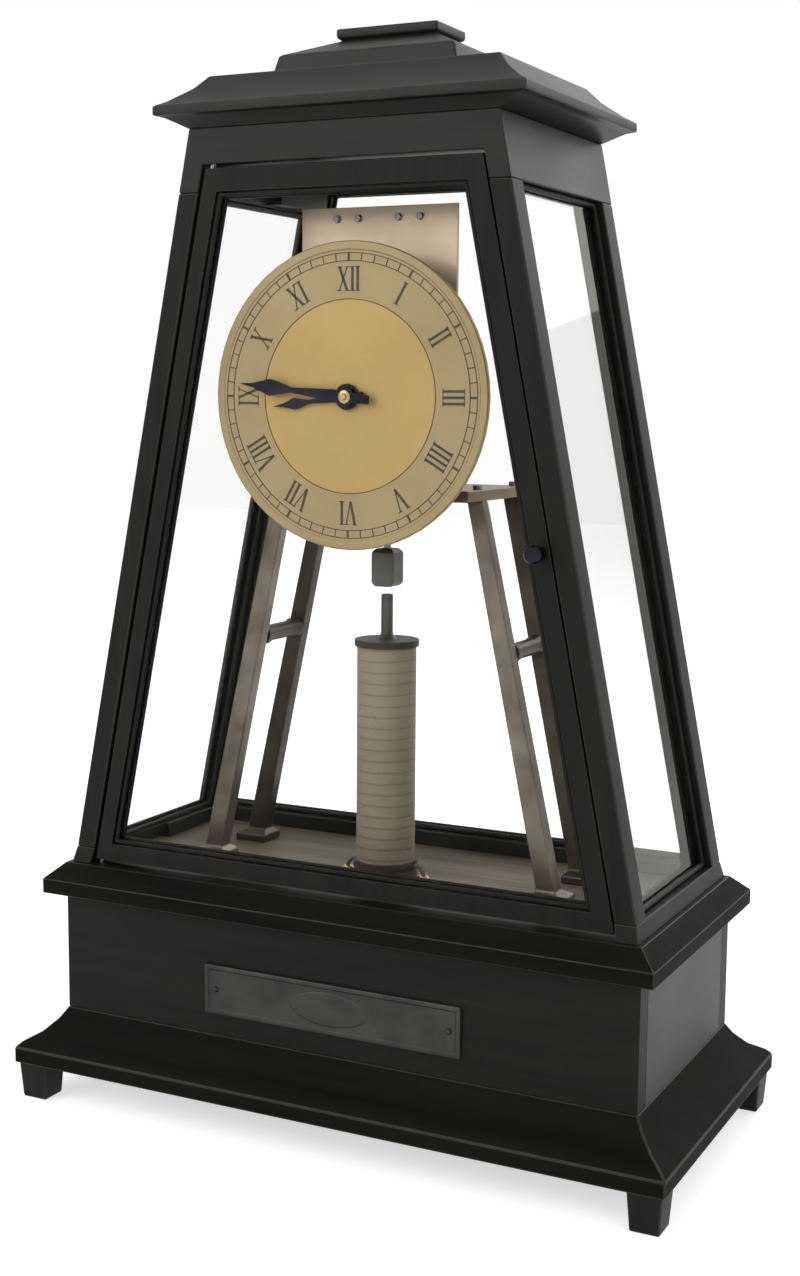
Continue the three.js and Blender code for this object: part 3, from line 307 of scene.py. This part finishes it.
def turned(rings, sides=48):
    """A shape turned about the upright axis, from the radius and level of each of its rings."""
    bpy.ops.object.select_all(action="DESELECT")
    radius, level = rings[0]
    bpy.ops.mesh.primitive_circle_add(vertices=sides, radius=radius, location=(0, 0, level))
    piece = bpy.context.object
    bpy.ops.object.mode_set(mode="EDIT")
    bpy.ops.mesh.select_mode(type="EDGE")
    bpy.ops.mesh.select_all(action="SELECT")
    for next_radius, next_level in rings[1:]:
        rise = {"value": (0, 0, next_level - level)}
        bpy.ops.mesh.extrude_region_move(TRANSFORM_OT_translate=rise)
        bpy.ops.transform.resize(value=(next_radius / radius, next_radius / radius, 1))
        radius, level = next_radius, next_level
    bpy.ops.mesh.select_all(action="SELECT")
    bpy.ops.mesh.remove_doubles(threshold=0.000001)
    bpy.ops.mesh.fill_holes(sides=0)
    bpy.ops.mesh.select_all(action="SELECT")
    bpy.ops.mesh.normals_make_consistent(inside=False)
    bpy.ops.object.mode_set(mode="OBJECT")
    return piece


def dressed(piece, name, body, finish, angle=35):
    """Fixes a new piece where it stands, and gives it its name, finish and body."""
    pick(piece)
    piece.name = name
    bpy.ops.object.transform_apply(location=True, rotation=True, scale=True)
    evened(piece, angle)
    piece.data.materials.clear()
    piece.data.materials.append(finish)
    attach(piece, body)
    return piece


def another(shape, place, turn=(0, 0, 0), size=1.0):
    """One more piece from a shape that is made once, with its own mesh."""
    piece = bpy.data.objects.new("piece", shape.copy())
    bpy.context.scene.collection.objects.link(piece)
    piece.location = place
    piece.rotation_euler = [math.radians(angle) for angle in turn]
    piece.scale = (size, size, size)
    return piece


def shape_of(piece):
    """The bare shape of a piece that is only a pattern for others."""
    shape = piece.data
    bpy.data.objects.remove(piece)
    return shape


screw_blank = turned([(0.001, -0.0003), (0.001, 0.0005), (0.0009, 0.0006)], sides=24)
saw_level = 0.00062
saw_length, saw_width, saw_height = 0.0024, 0.00026, 0.0006
bpy.ops.mesh.primitive_cube_add(size=1, location=(0, 0, saw_level))
saw = bpy.context.object
saw.scale = (saw_length, saw_width, saw_height)
sawn = screw_blank.modifiers.new("slot", "BOOLEAN")
sawn.operation = "DIFFERENCE"
sawn.object = saw
bpy.context.view_layer.objects.active = screw_blank
bpy.ops.object.modifier_apply(modifier="slot")
bpy.data.objects.remove(saw)
screw = shape_of(screw_blank)
facing_turns = {"up": (0, 0, 20), "down": (180, 0, 20), "front": (90, 25, 0), "back": (-90, 40, 0)}


def slotted_screw(name, body, place, radius_mm, facing):
    """A cheese-head screw of bare steel. The shape is made once, one millimetre in radius."""
    piece = another(screw, place, facing_turns[facing], radius_mm)
    return dressed(piece, name, body, bare_steel)


plinth_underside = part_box("plinth_board")[0].z
screw_columns = (-0.104, 0, 0.104)
screw_rows = (-0.0465, 0.0465)
for number, (x, y) in enumerate([(x, y) for x in screw_columns for y in screw_rows]):
    spot = (x, y, plinth_underside)
    slotted_screw("plinth_screw_%d" % number, "case", spot, radius_mm=2.6, facing="down")

# The battery box: four boards glued round, the front one with a low raised panel on its face.
# At the back an opening is closed by a small flush door, which turns on an upright steel pin
# and has a turned knob of blackened steel on a thin rose.
black_lengthwise = ebonised("ebonised_long_grain", "X")
# The end boards take a lighter copy of the black, with more sheen: painted light on the side of the
# box.
polished_black_painted_light = ebonised("ebonised_box_ends_painted_light", "Y", lift=1.4, sheen=0.48)
box_arris = 0.0004
mitre_arris = 0.0002
eased("box_front_board", "case", black_lengthwise, box_arris)
joinery("box_back_board", "case", black_lengthwise, box_arris)
joinery("box_left_board", "case", polished_black_painted_light, mitre_arris)
joinery("box_right_board", "case", polished_black_painted_light, mitre_arris)
joinery("battery_door", "battery_hatch", black_lengthwise, box_arris)
blackened = metal(
    "blackened_steel", dark=(0.010, 0.011, 0.016), light=(0.030, 0.030, 0.038), rough=0.32)
turned_arris = 0.0002
eased("battery_door_knob", "battery_hatch", blackened, turned_arris)
eased("battery_door_pin", "case", bare_steel, turned_arris)
door_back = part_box("battery_door")[1].y
hatch_knob_low, hatch_knob_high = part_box("battery_door_knob")
rose_profile = [(0.0030, 0), (0.0058, 0), (0.0058, 0.0003), (0.0052, 0.0007),
                (0.0040, 0.0009), (0.0030, 0.0009), (0.0030, 0)]
rose = shape_of(turned(rose_profile, sides=40))
knob_middle = (hatch_knob_low + hatch_knob_high) / 2
piece = another(rose, (knob_middle.x, door_back, knob_middle.z), (-90, 0, 0))
dressed(piece, "battery_door_rose", "battery_hatch", blackened)

# A blank cast plaque of dark bronze on the front panel, with a plain rim and a low oval
# boss, held by a round-headed pin at each end.
plaque_bronze = metal("plaque_bronze", dark=(0.030, 0.031, 0.028), light=(0.050, 0.051, 0.044),
                      rough=0.50, scale=70.0, metallic=0.7)
panel_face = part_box("box_front_board")[0].y
plaque_width = 0.104
plaque_height = 0.0185
plaque_level = 0.0525
plaque_thickness = 0.0011
plaque_bevel = 0.0005
plaque_bevel_rise = 0.0003
plaque_rim = 0.0009
plaque_fillet = 0.0006
bpy.ops.object.select_all(action="DESELECT")
bpy.ops.mesh.primitive_plane_add(size=1, rotation=(math.pi / 2, 0, 0))
plaque = bpy.context.object
plaque.scale = (plaque_width, plaque_height, 1)
bpy.ops.object.transform_apply(location=True, rotation=True, scale=True)
bpy.ops.object.mode_set(mode="EDIT")
bpy.ops.mesh.select_mode(type="FACE")
bpy.ops.mesh.select_all(action="SELECT")
bpy.ops.mesh.extrude_region_move(TRANSFORM_OT_translate={"value": (0, -plaque_thickness, 0)})
bpy.ops.mesh.inset(thickness=plaque_bevel, depth=plaque_bevel_rise)
bpy.ops.mesh.inset(thickness=plaque_rim)
bpy.ops.mesh.inset(thickness=plaque_fillet, depth=-plaque_fillet)
bpy.ops.mesh.select_all(action="SELECT")
bpy.ops.mesh.normals_make_consistent(inside=False)
bpy.ops.object.mode_set(mode="OBJECT")
plaque.location = (0, panel_face, plaque_level)
dressed(plaque, "front_plaque", "case", plaque_bronze)
boss = turned([(0.0160, 0), (0.0155, 0.0004), (0.0140, 0.0006), (0.0130, 0.0005),
               (0.0120, 0.0007), (0.0060, 0.0009), (0.0010, 0.0010)], sides=64)
oval = 0.40
boss_seat = panel_face - 0.0007
boss.scale = (1, oval, 1)
boss.rotation_euler = (math.pi / 2, 0, 0)
boss.location = (0, boss_seat, plaque_level)
dressed(boss, "front_plaque_boss", "case", plaque_bronze, angle=50)
pin_profile = [(0.0011, -0.0002), (0.0011, 0.0002), (0.0008, 0.0006), (0.0003, 0.0008)]
round_pin = shape_of(turned(pin_profile, sides=20))
pin_from_end = 0.0045
pin_seat = panel_face - 0.0008
for side, sign in (("left", -1), ("right", 1)):
    spot = (sign * (plaque_width / 2 - pin_from_end), pin_seat, plaque_level)
    pin = another(round_pin, spot, (90, 0, 0))
    dressed(pin, "front_plaque_pin_" + side, "case", plaque_bronze, angle=60)

# The deck board closes the box. Its moulded edge runs round outside the glass, ebonised like
# the rest, and inside the glass its top is waxed brown: the floor that the stand is screwed to.
def waxed_floor():
    """Brown wax within the door and the sill, and black polish outside them."""
    board = Finish("waxed_floor")
    under_sill = 0.004
    sill_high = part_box("cage_sill")[1]
    front_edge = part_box("door_frame")[0].y + under_sill
    back_edge = sill_high.y - under_sill
    where = board.add("ShaderNodeTexCoord", {}, {}, "Object")
    across = board.add("ShaderNodeSeparateXYZ", {}, {0: where}, 0)
    depth = board.add("ShaderNodeSeparateXYZ", {}, {0: where}, 1)
    from_side = sill_high.x - under_sill - across.unsigned()
    from_edge = from_side.at_most(depth - front_edge).at_most(back_edge - depth)
    edge_sharpness = 4000.0
    inside = (from_edge * edge_sharpness).within_one()
    grain = board.noise(board.place((3, 55, 55)), 3.0, 6.0, 0.6)
    cloud = board.noise(board.place(), 16.0, 3.0)
    tone = (grain * 0.65 + cloud * 0.35).at_most(1.0)
    waxed = board.ramp(tone, [(0.35, (0.074, 0.063, 0.042)), (0.70, (0.235, 0.202, 0.142))])
    black = board.ramp(tone, [(0.35, (0.003, 0.003, 0.002)), (0.70, (0.011, 0.010, 0.007))])
    board.set(Base_Color=board.between(inside, black, waxed))
    board.set(Roughness=0.42 + 0.2 * cloud, Specular_IOR_Level=0.16)
    board.bump(grain, 0.08, 0.0002)
    return board.material


def split_finish(piece, finish, wanted):
    """Gives the faces that are wanted a finish of their own."""
    piece.data.materials.append(finish)
    last = len(piece.data.materials) - 1
    for face in piece.data.polygons:
        if wanted(face):
            face.material_index = last


def on_deck_top(face):
    nearly = 0.0001
    return face.center.z > deck_top - nearly and face.normal.z > 0.99


deck = joinery("deck_board", "case", dull_black)
deck_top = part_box("deck_board")[1].z
split_finish(deck, waxed_floor(), on_deck_top)

# The cage: a low sill, four corner posts that lean in towards the top, and the top frame
# that they are tenoned into. All of it is ebonised like the box.
joinery("cage_sill", "case", black_lengthwise)
for corner in corners:
    joinery("post_" + corner, "case", black_upright, arris=0.0006)
# The top frame takes a lighter copy of the black: painted light on the frieze.
frieze_black_painted_light = ebonised("ebonised_frieze_painted_light", "X", lift=1.2, sheen=0.25)
joinery("top_frame", "case", frieze_black_painted_light)


# Clear drawn glass, a little uneven, in the sides, the back and the door. It reflects more
# where it is seen at a glancing angle, and a thin film of dust catches a little light. Thin
# beads pinned round each pane, inside and out, hold it.
def clear_glass():
    pane = Finish("clear_glass")
    glance = pane.add("ShaderNodeLayerWeight", {}, {"Blend": 0.5}, "Facing")
    dust = pane.noise(pane.place(), 9.0, 5.0, 0.6)
    pane.set(Base_Color=(0.40, 0.41, 0.36, 1), Metallic=1.0, Roughness=0.03)
    pane.set(Alpha=(glance ** 4.0 * 0.85 + 0.002 + 0.005 * dust).at_most(0.7))
    pane.bump(dust, 0.01, 0.001)
    return pane.material


glass = clear_glass()
for pane_name in ("glass_left", "glass_right", "glass_back", "door_glass"):
    nodes[pane_name].data.materials.clear()
    nodes[pane_name].data.materials.append(glass)


def choose_faces(piece, wanted):
    """Selects the faces that are wanted, and leaves the piece in edit mode."""
    bpy.ops.object.mode_set(mode="EDIT")
    bpy.ops.mesh.select_mode(type="FACE")
    bpy.ops.mesh.select_all(action="DESELECT")
    bpy.ops.object.mode_set(mode="OBJECT")
    for face in piece.data.polygons:
        face.select = wanted(face)
    bpy.ops.object.mode_set(mode="EDIT")


def glazing_bead(name, pane, body, facing, width=0.0020, rise=0.0018):
    """A rounded bead along the four edges of one face of a pane."""
    bead = another(nodes[pane].data, (0, 0, 0))
    whole_faces(bead)
    choose_faces(bead, lambda face: face.normal.dot(facing) < 0.9)
    bpy.ops.mesh.delete(type="FACE")
    bpy.ops.mesh.select_all(action="SELECT")
    bpy.ops.mesh.inset(thickness=width)
    bpy.ops.mesh.delete(type="FACE")
    bpy.ops.object.mode_set(mode="OBJECT")
    wall = bead.modifiers.new("thickness", "SOLIDIFY")
    wall.thickness = rise
    wall.offset = 1.0
    bpy.ops.object.modifier_apply(modifier="thickness")
    round_edge = bead.modifiers.new("round", "BEVEL")
    round_edge.width = rise * 0.4
    round_edge.segments = 3
    bpy.ops.object.modifier_apply(modifier="round")
    dressed(bead, name, body, black_upright)


for side, outward in (("left", -1), ("right", 1)):
    glazing_bead("bead_%s_outer" % side, "glass_" + side, "case", (outward, 0, 0))
    glazing_bead("bead_%s_inner" % side, "glass_" + side, "case", (-outward, 0, 0))
glazing_bead("bead_back_outer", "glass_back", "case", (0, 1, 0))
glazing_bead("bead_back_inner", "glass_back", "case", (0, -1, 0))

# The cornice is planted on the top frame: a bed moulding, a square lip and a hollow. On it
# sits the small hipped roof block with its flat cap.
# The cornice and the roof block take a darker copy of the black, with more sheen: painted shade on
# their fronts.
cornice_black_painted_shade = ebonised("ebonised_cornice_painted_shade", "X", lift=0.6, sheen=0.29)
joinery("cornice", "case", cornice_black_painted_shade)
joinery("roof_block", "case", cornice_black_painted_shade, arris=0.0007)

# The door: a narrow mitred frame round its own pane, hung on the left on two steel pins. It
# is pulled open by a small turned knob of blackened steel. Beads hold its pane.
joinery("door_frame", "glass_door", black_upright)
glazing_bead("bead_door_inner", "door_glass", "glass_door", (0, 1, 0))
glazing_bead("bead_door_outer", "door_glass", "glass_door", (0, -1, 0), width=0.0016, rise=0.0012)
eased("door_knob", "glass_door", blackened, turned_arris)
for pin in ("door_pin_upper", "door_pin_lower"):
    eased(pin, "glass_door", bare_steel, turned_arris)

# The stand: four cast legs of brown bronze that lean together, and a turned bar between the legs
# on each side. The front pair take a lighter copy of the bronze, painted light, and the rear pair
# and the bars a darker copy, painted shade. A platform of dulled brass lies on their ends, held
# by a steel screw over each leg.
bronze_painted_shade = metal("bronze_painted_shade", dark=(0.026, 0.020, 0.014), light=(0.062, 0.051, 0.036),
                    rough=0.44, scale=70.0, metallic=0.8)
bronze_painted_light = metal("bronze_painted_light", dark=(0.094, 0.077, 0.056), light=(0.210, 0.180, 0.136),
                      rough=0.44, scale=70.0, metallic=0.8)
for corner in corners:
    # The front legs take the lighter copy as painted light, and the rear legs the darker one as
    # painted shade.
    bronze = bronze_painted_light if corner.startswith("front") else bronze_painted_shade
    eased("stand_leg_" + corner, "case", bronze, arris=0.0006, segments=3)
for side in ("left", "right"):
    eased("crossbar_" + side, "case", bronze_painted_shade, arris=0.0003)
dull_brass = metal("dull_brass", dark=(0.104, 0.078, 0.034), light=(0.180, 0.140, 0.062),
                   rough=0.40, scale=45.0, metallic=0.85)
eased("platform", "case", dull_brass, arris=0.0004)
platform_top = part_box("platform")[1].z
screw_from_inner_side = 0.003
for corner in corners:
    leg_low, leg_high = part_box("stand_leg_" + corner)
    if corner.endswith("left"):
        screw_x = leg_high.x - screw_from_inner_side
    else:
        screw_x = leg_low.x + screw_from_inner_side
    spot = (screw_x, (leg_low.y + leg_high.y) / 2, platform_top)
    slotted_screw("platform_screw_" + corner, "case", spot, radius_mm=1.7, facing="up")

# The movement: two plates held apart by turned pillars. The tall back plate is of a rosier
# brass, brushed upright, and its top shows over the dial. Steel screws hold the pillars, the
# corners of the back plate and the steel cock that the pendulum hangs on.
rosy = metal("rosy_brass", dark=(0.42, 0.325, 0.235), light=(0.54, 0.430, 0.320),
             rough=0.38, scale=40.0, metallic=0.9, brushed=(12, 12, 1))
lacquered = metal("lacquered_brass", dark=(0.36, 0.25, 0.11), light=(0.50, 0.37, 0.18),
                  rough=0.30, scale=45.0)
eased("movement_plate_front", "case", lacquered, arris=0.0002)
eased("movement_plate_back", "case", rosy, arris=0.0003)
for side in ("left", "right"):
    eased("pillar_" + side, "case", lacquered, turned_arris)
eased("suspension_cock", "case", bare_steel, arris=0.0003)
plate_low, plate_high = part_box("movement_plate_back")
pillar_low, pillar_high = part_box("pillar_left")
pillar_level = (pillar_low.z + pillar_high.z) / 2
pillar_from_middle = -(pillar_low.x + pillar_high.x) / 2
plate_screw_inset, plate_screw_rise = 0.005, 0.006
cock_screw_drop = 0.004
for side, sign in (("left", -1), ("right", 1)):
    spot = (sign * pillar_from_middle, plate_high.y, pillar_level)
    slotted_screw("pillar_screw_" + side, "case", spot, radius_mm=2.2, facing="back")
    spot = (sign * (plate_high.x - plate_screw_inset), plate_high.y, plate_low.z + plate_screw_rise)
    slotted_screw("plate_screw_" + side, "case", spot, radius_mm=2.0, facing="back")
    for place, from_middle in (("outer", 0.0165), ("inner", 0.008)):
        spot = (sign * from_middle, plate_low.y, plate_high.z - cock_screw_drop)
        screw_name = "cock_screw_%s_%s" % (side, place)
        slotted_screw(screw_name, "case", spot, radius_mm=1.3, facing="front")

# The wheels of the train and of the motion work: hard brass, cut and crossed out. The cannon
# pinion, whose pipe carries the minute hand, and the driving pawl are of bare steel.
wheel_brass = metal("wheel_brass", dark=(0.42, 0.30, 0.13), light=(0.56, 0.42, 0.20),
                    rough=0.28, scale=80.0, relief=0.02)
tooth_arris = 0.00006
for wheel, body in (
    ("count_wheel", "count_train"),
    ("intermediate_wheel", "intermediate_train"),
    ("centre_wheel", "centre_train"),
    ("minute_wheel", "minute_reduction"),
    ("hour_wheel", "hour_train"),
):
    eased(wheel, body, wheel_brass, tooth_arris, segments=1)
eased("cannon_pinion", "minute_train", bare_steel, tooth_arris, segments=1)
eased("driving_pawl", "pawl", bare_steel, arris=0.0001, segments=1)

# The dial: a spun brass disc, gilded matt, with a low outer rim and a chapter ring that has
# dulled more than the middle. The hours and minutes are painted on it in black.
dial_low, dial_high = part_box("dial")
dial_x = (dial_low.x + dial_high.x) / 2
dial_z = (dial_low.z + dial_high.z) / 2
rim_height = 0.0004
dial_face = dial_low.y + rim_height
chapter_radius = 0.0335


def gilded():
    """Gilding with fine rings from spinning, dulled outside the middle of the dial."""
    gilt = Finish("matt_gilding")
    where = gilt.add("ShaderNodeTexCoord", {}, {}, "Object")
    vector = "ShaderNodeVectorMath"
    offset = gilt.add(vector, {"operation": "SUBTRACT"}, {0: where, 1: (dial_x, 0, dial_z)})
    across = gilt.add(vector, {"operation": "MULTIPLY"}, {0: offset, 1: (1, 0, 1)})
    radius = gilt.add(vector, {"operation": "LENGTH"}, {0: across}, "Value")
    cloud = gilt.noise(gilt.place(), 22.0, 4.0, 0.55)
    fine = gilt.noise(gilt.place(), 420.0, 3.0, 0.6)
    rings_per_metre = 2200.0
    turning = gilt.add("ShaderNodeCombineXYZ", {}, {"X": radius * rings_per_metre})
    lines = gilt.noise(turning, 1.0, 2.0)
    edge_sharpness = 1500.0
    chapter = ((radius - chapter_radius) * edge_sharpness).within_one()
    tone = cloud * 0.6 + fine * 0.2 + lines * 0.2
    middle = gilt.ramp(tone, [(0.32, (0.372, 0.250, 0.084)), (0.68, (0.475, 0.332, 0.123))])
    dulled = gilt.ramp(tone, [(0.32, (0.295, 0.222, 0.108)), (0.68, (0.370, 0.290, 0.150))])
    gilt.set(Base_Color=gilt.between(chapter, middle, dulled))
    gilt.set(Metallic=0.55, Roughness=0.46 + 0.10 * fine + 0.06 * cloud)
    gilt.bump(lines * 0.6 + fine * 0.4, 0.08, 0.0002)
    return gilt.material


def painted_black():
    paint = Finish("black_paint")
    cloud = paint.noise(paint.place(), 300.0, 3.0)
    black, faded = (0.022, 0.019, 0.014), (0.055, 0.049, 0.036)
    paint.set(Base_Color=paint.ramp(cloud, [(0.3, black), (0.7, faded)]))
    paint.set(Roughness=0.5 + 0.15 * cloud)
    return paint.material


eased("dial", "case", gilded(), arris=0.0003)
ink = painted_black()
numeral_radius = 0.0405
numeral_height = 0.0080
paint_depth = 0.00012


def stroke(x, z, width, height, lean):
    """One straight stroke of paint, drawn about the middle of the dial's face."""
    bpy.ops.mesh.primitive_cube_add(size=1, location=(x, 0, z), rotation=(0, lean, 0))
    piece = bpy.context.object
    piece.scale = (width, paint_depth, height)
    return piece


def painted_together(pieces):
    """Strokes of paint made one piece."""
    bpy.ops.object.select_all(action="DESELECT")
    for piece in pieces:
        piece.select_set(True)
    bpy.context.view_layer.objects.active = pieces[0]
    bpy.ops.object.join()
    bpy.ops.object.transform_apply(location=True, rotation=True, scale=True)
    return bpy.context.object


# Each letter is its width and its strokes: the middle's place, how far it leans, its thickness.
# The serifs are added to the ends of the strokes, but for the two that meet at a V's foot.
thick = 0.00090
thin = 0.00038
serif_width = 0.0018
serif_height = 0.00034
letters = {
    "I": (0.0021, [(0, 0, thick)]),
    "V": (0.0048, [(-0.00085, -0.21, thick), (0.00085, 0.21, thin)]),
    "X": (0.0050, [(0, -0.36, thick), (0, 0.36, thin)]),
}
hours = ("I", "II", "III", "IIII", "V", "VI", "VII", "VIII", "IX", "X", "XI", "XII")
for hour, numeral_letters in enumerate(hours, 1):
    start = -sum(letters[letter][0] for letter in numeral_letters) / 2
    strokes = []
    for letter in numeral_letters:
        width, lines = letters[letter]
        middle = start + width / 2
        start += width
        for place, lean, weight in lines:
            length = numeral_height / math.cos(lean)
            strokes.append(stroke(middle + place, 0, weight, length, lean))
            for end in (-1, 1):
                tip = middle + place + end * math.tan(lean) * numeral_height / 2
                if letter != "V" or end == 1:
                    level = end * numeral_height / 2
                    strokes.append(stroke(tip, level, serif_width, serif_height, 0))
    numeral = painted_together(strokes)
    angle = hour / 12 * 2 * math.pi
    numeral.rotation_euler = (0, angle, 0)
    numeral.location = (
        dial_x + numeral_radius * math.sin(angle),
        dial_face - paint_depth / 2,
        dial_z + numeral_radius * math.cos(angle),
    )
    dressed(numeral, "numeral_%02d" % hour, "case", ink)

track_radius = 0.0479
track_inner, track_outer = 0.0465, 0.0492
mark_length = 0.0024
hour_mark_width, minute_mark_width = 0.0008, 0.00032
line_breadth = 0.00028
marks = []
for minute in range(60):
    angle = minute / 60 * 2 * math.pi
    x = track_radius * math.sin(angle)
    z = track_radius * math.cos(angle)
    width = hour_mark_width if minute % 5 == 0 else minute_mark_width
    marks.append(stroke(x, z, width, mark_length, angle))
minute_track = painted_together(marks)
minute_track.location = (dial_x, dial_face - paint_depth / 2, dial_z)
dressed(minute_track, "minute_marks", "case", ink)


def painted_circle(name, radius):
    """A fine painted line round the dial, from its inner radius."""
    outer = radius + line_breadth
    ring = turned([(radius, 0), (radius, paint_depth), (outer, paint_depth), (outer, 0),
                   (radius, 0)], sides=96)
    ring.rotation_euler = (math.pi / 2, 0, 0)
    ring.location = (dial_x, dial_face, dial_z)
    dressed(ring, name, "case", ink)


painted_circle("minute_circle_inner", track_inner)
painted_circle("minute_circle_outer", track_outer)
painted_circle("chapter_circle", chapter_radius)

# The hands: leaf-shaped, of blued steel that has darkened, on the ends of their pipes. A
# small turned brass collet holds the minute hand down on its pipe.
hand_arris = 0.00012
eased("hour_hand", "hour_train", blackened, hand_arris)
eased("minute_hand", "minute_train", blackened, hand_arris)
collet = turned([(0.00115, 0), (0.0023, 0), (0.0023, 0.00025), (0.0019, 0.0005),
                 (0.00115, 0.0005), (0.00115, 0)], sides=32)
collet.rotation_euler = (math.pi / 2, 0, 0)
collet.location = (dial_x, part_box("minute_hand")[0].y, dial_z)
dressed(collet, "hand_collet", "minute_train", lacquered)

# The pendulum: a steel rod hung by an eye, a heavy brass bob that slides on it, held up by
# the rating nut, and a block of soft iron on its foot that the magnet pulls.
soft_iron = metal("soft_iron", dark=(0.055, 0.054, 0.048), light=(0.105, 0.103, 0.092),
                  rough=0.50, scale=90.0, metallic=0.8)
eased("pendulum_rod", "pendulum", bare_steel, turned_arris)
eased("pendulum_bob", "pendulum", lacquered, arris=0.0004)
eased("armature", "pendulum", soft_iron, arris=0.0006, segments=3)
eased("rating_nut", "nut", lacquered, turned_arris)


# The electromagnet: an iron core with a long coil of wire, wrapped over in varnished cloth
# tape whose edges show as fine rings, between two stiff cheeks of black fibre.
def wrapped_cloth():
    tape = Finish("varnished_tape")
    where = tape.place()
    height = tape.add("ShaderNodeSeparateXYZ", {}, {0: where}, 2)
    cloud = tape.noise(where, 30.0, 4.0)
    weave = tape.noise(where, 900.0, 2.0)
    laps_per_metre = 240.0
    laps = (height * laps_per_metre + cloud * 0.5).fraction()
    lap = (laps * 5.0).at_most(1.0)
    tone = cloud * 0.55 + weave * 0.25 + lap * 0.2
    stained, clean = (0.140, 0.115, 0.071), (0.292, 0.245, 0.164)
    tape.set(Base_Color=tape.ramp(tone, [(0.3, stained), (0.7, clean)]))
    tape.set(Roughness=0.55 + 0.2 * weave)
    tape.bump(lap * 0.7 + weave * 0.3, 0.35, 0.0004)
    return tape.material


def black_fibre():
    fibre = Finish("black_fibre")
    cloud = fibre.noise(fibre.place(), 60.0, 4.0)
    speck = fibre.noise(fibre.place(), 800.0, 2.0)
    tone = cloud * 0.6 + speck * 0.4
    black, greyed = (0.016, 0.014, 0.011), (0.045, 0.040, 0.030)
    fibre.set(Base_Color=fibre.ramp(tone, [(0.3, black), (0.7, greyed)]))
    fibre.set(Roughness=0.45 + 0.2 * speck, Specular_IOR_Level=0.25)
    fibre.bump(speck, 0.1, 0.0002)
    return fibre.material


coil = eased("magnet_coil", "case", wrapped_cloth(), arris=0.0004)
coil_low, coil_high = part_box("magnet_coil")
past_cheek = 0.0032
tape_low = coil_low.z + past_cheek
tape_high = coil_high.z - past_cheek
split_finish(coil, black_fibre(), lambda face: not tape_low < face.center.z < tape_high)
eased("magnet_core", "case", soft_iron, arris=0.0003)


# The battery: a flat cell in a plain waxed card case, sealed on top, with two brass
# terminals, and a braided lead from each up through a brass bush in the floor to the coil.
def waxed_card():
    case = Finish("waxed_card")
    cloud = case.noise(case.place(), 18.0, 5.0, 0.6)
    fibre = case.noise(case.place((1, 1, 6)), 260.0, 3.0)
    tone = cloud * 0.6 + fibre * 0.4
    waxed, bare = (0.17, 0.09, 0.035), (0.32, 0.19, 0.09)
    case.set(Base_Color=case.ramp(tone, [(0.3, waxed), (0.7, bare)]))
    case.set(Roughness=0.5 + 0.25 * fibre)
    case.bump(fibre, 0.2, 0.0003)
    return case.material


def braided():
    sleeve = Finish("braided_sleeve")
    weave = sleeve.noise(sleeve.place((1, 1, 0.4)), 1400.0, 2.0)
    between_threads, thread = (0.05, 0.05, 0.018), (0.16, 0.15, 0.07)
    sleeve.set(Base_Color=sleeve.ramp(weave, [(0.35, between_threads), (0.65, thread)]))
    sleeve.set(Roughness=0.75 + 0.15 * weave)
    sleeve.bump(weave, 0.4, 0.0002)
    return sleeve.material


battery = eased("dry_battery", "case", waxed_card(), arris=0.0006)
battery_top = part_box("dry_battery")[1].z
above_card = battery_top - 0.0048
split_finish(battery, lacquered, lambda face: face.center.z > above_card)
sleeve = braided()
bush = shape_of(turned([(0.0009, 0), (0.0024, 0), (0.0024, 0.0004), (0.0018, 0.0012),
                        (0.0009, 0.0012), (0.0009, 0)], sides=28))
nut = shape_of(turned([(0.0010, 0), (0.0029, 0), (0.0031, 0.0002), (0.0031, 0.0010),
                       (0.0029, 0.0012), (0.0010, 0.0012), (0.0010, 0)], sides=6))
lead_radius = 0.0008
for side in ("left", "right"):
    eased("battery_lead_" + side, "case", sleeve, arris=0.00005, segments=1)
    lead_low, lead_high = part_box("battery_lead_" + side)
    lead_x = lead_low.x + lead_radius if side == "left" else lead_high.x - lead_radius
    lead_y = (lead_low.y + lead_high.y) / 2
    piece = another(bush, (lead_x, lead_y, deck_top))
    dressed(piece, "lead_bush_" + side, "case", lacquered)
    piece = another(nut, (lead_x, lead_y, battery_top), (0, 0, 12))
    dressed(piece, "terminal_nut_" + side, "case", lacquered)
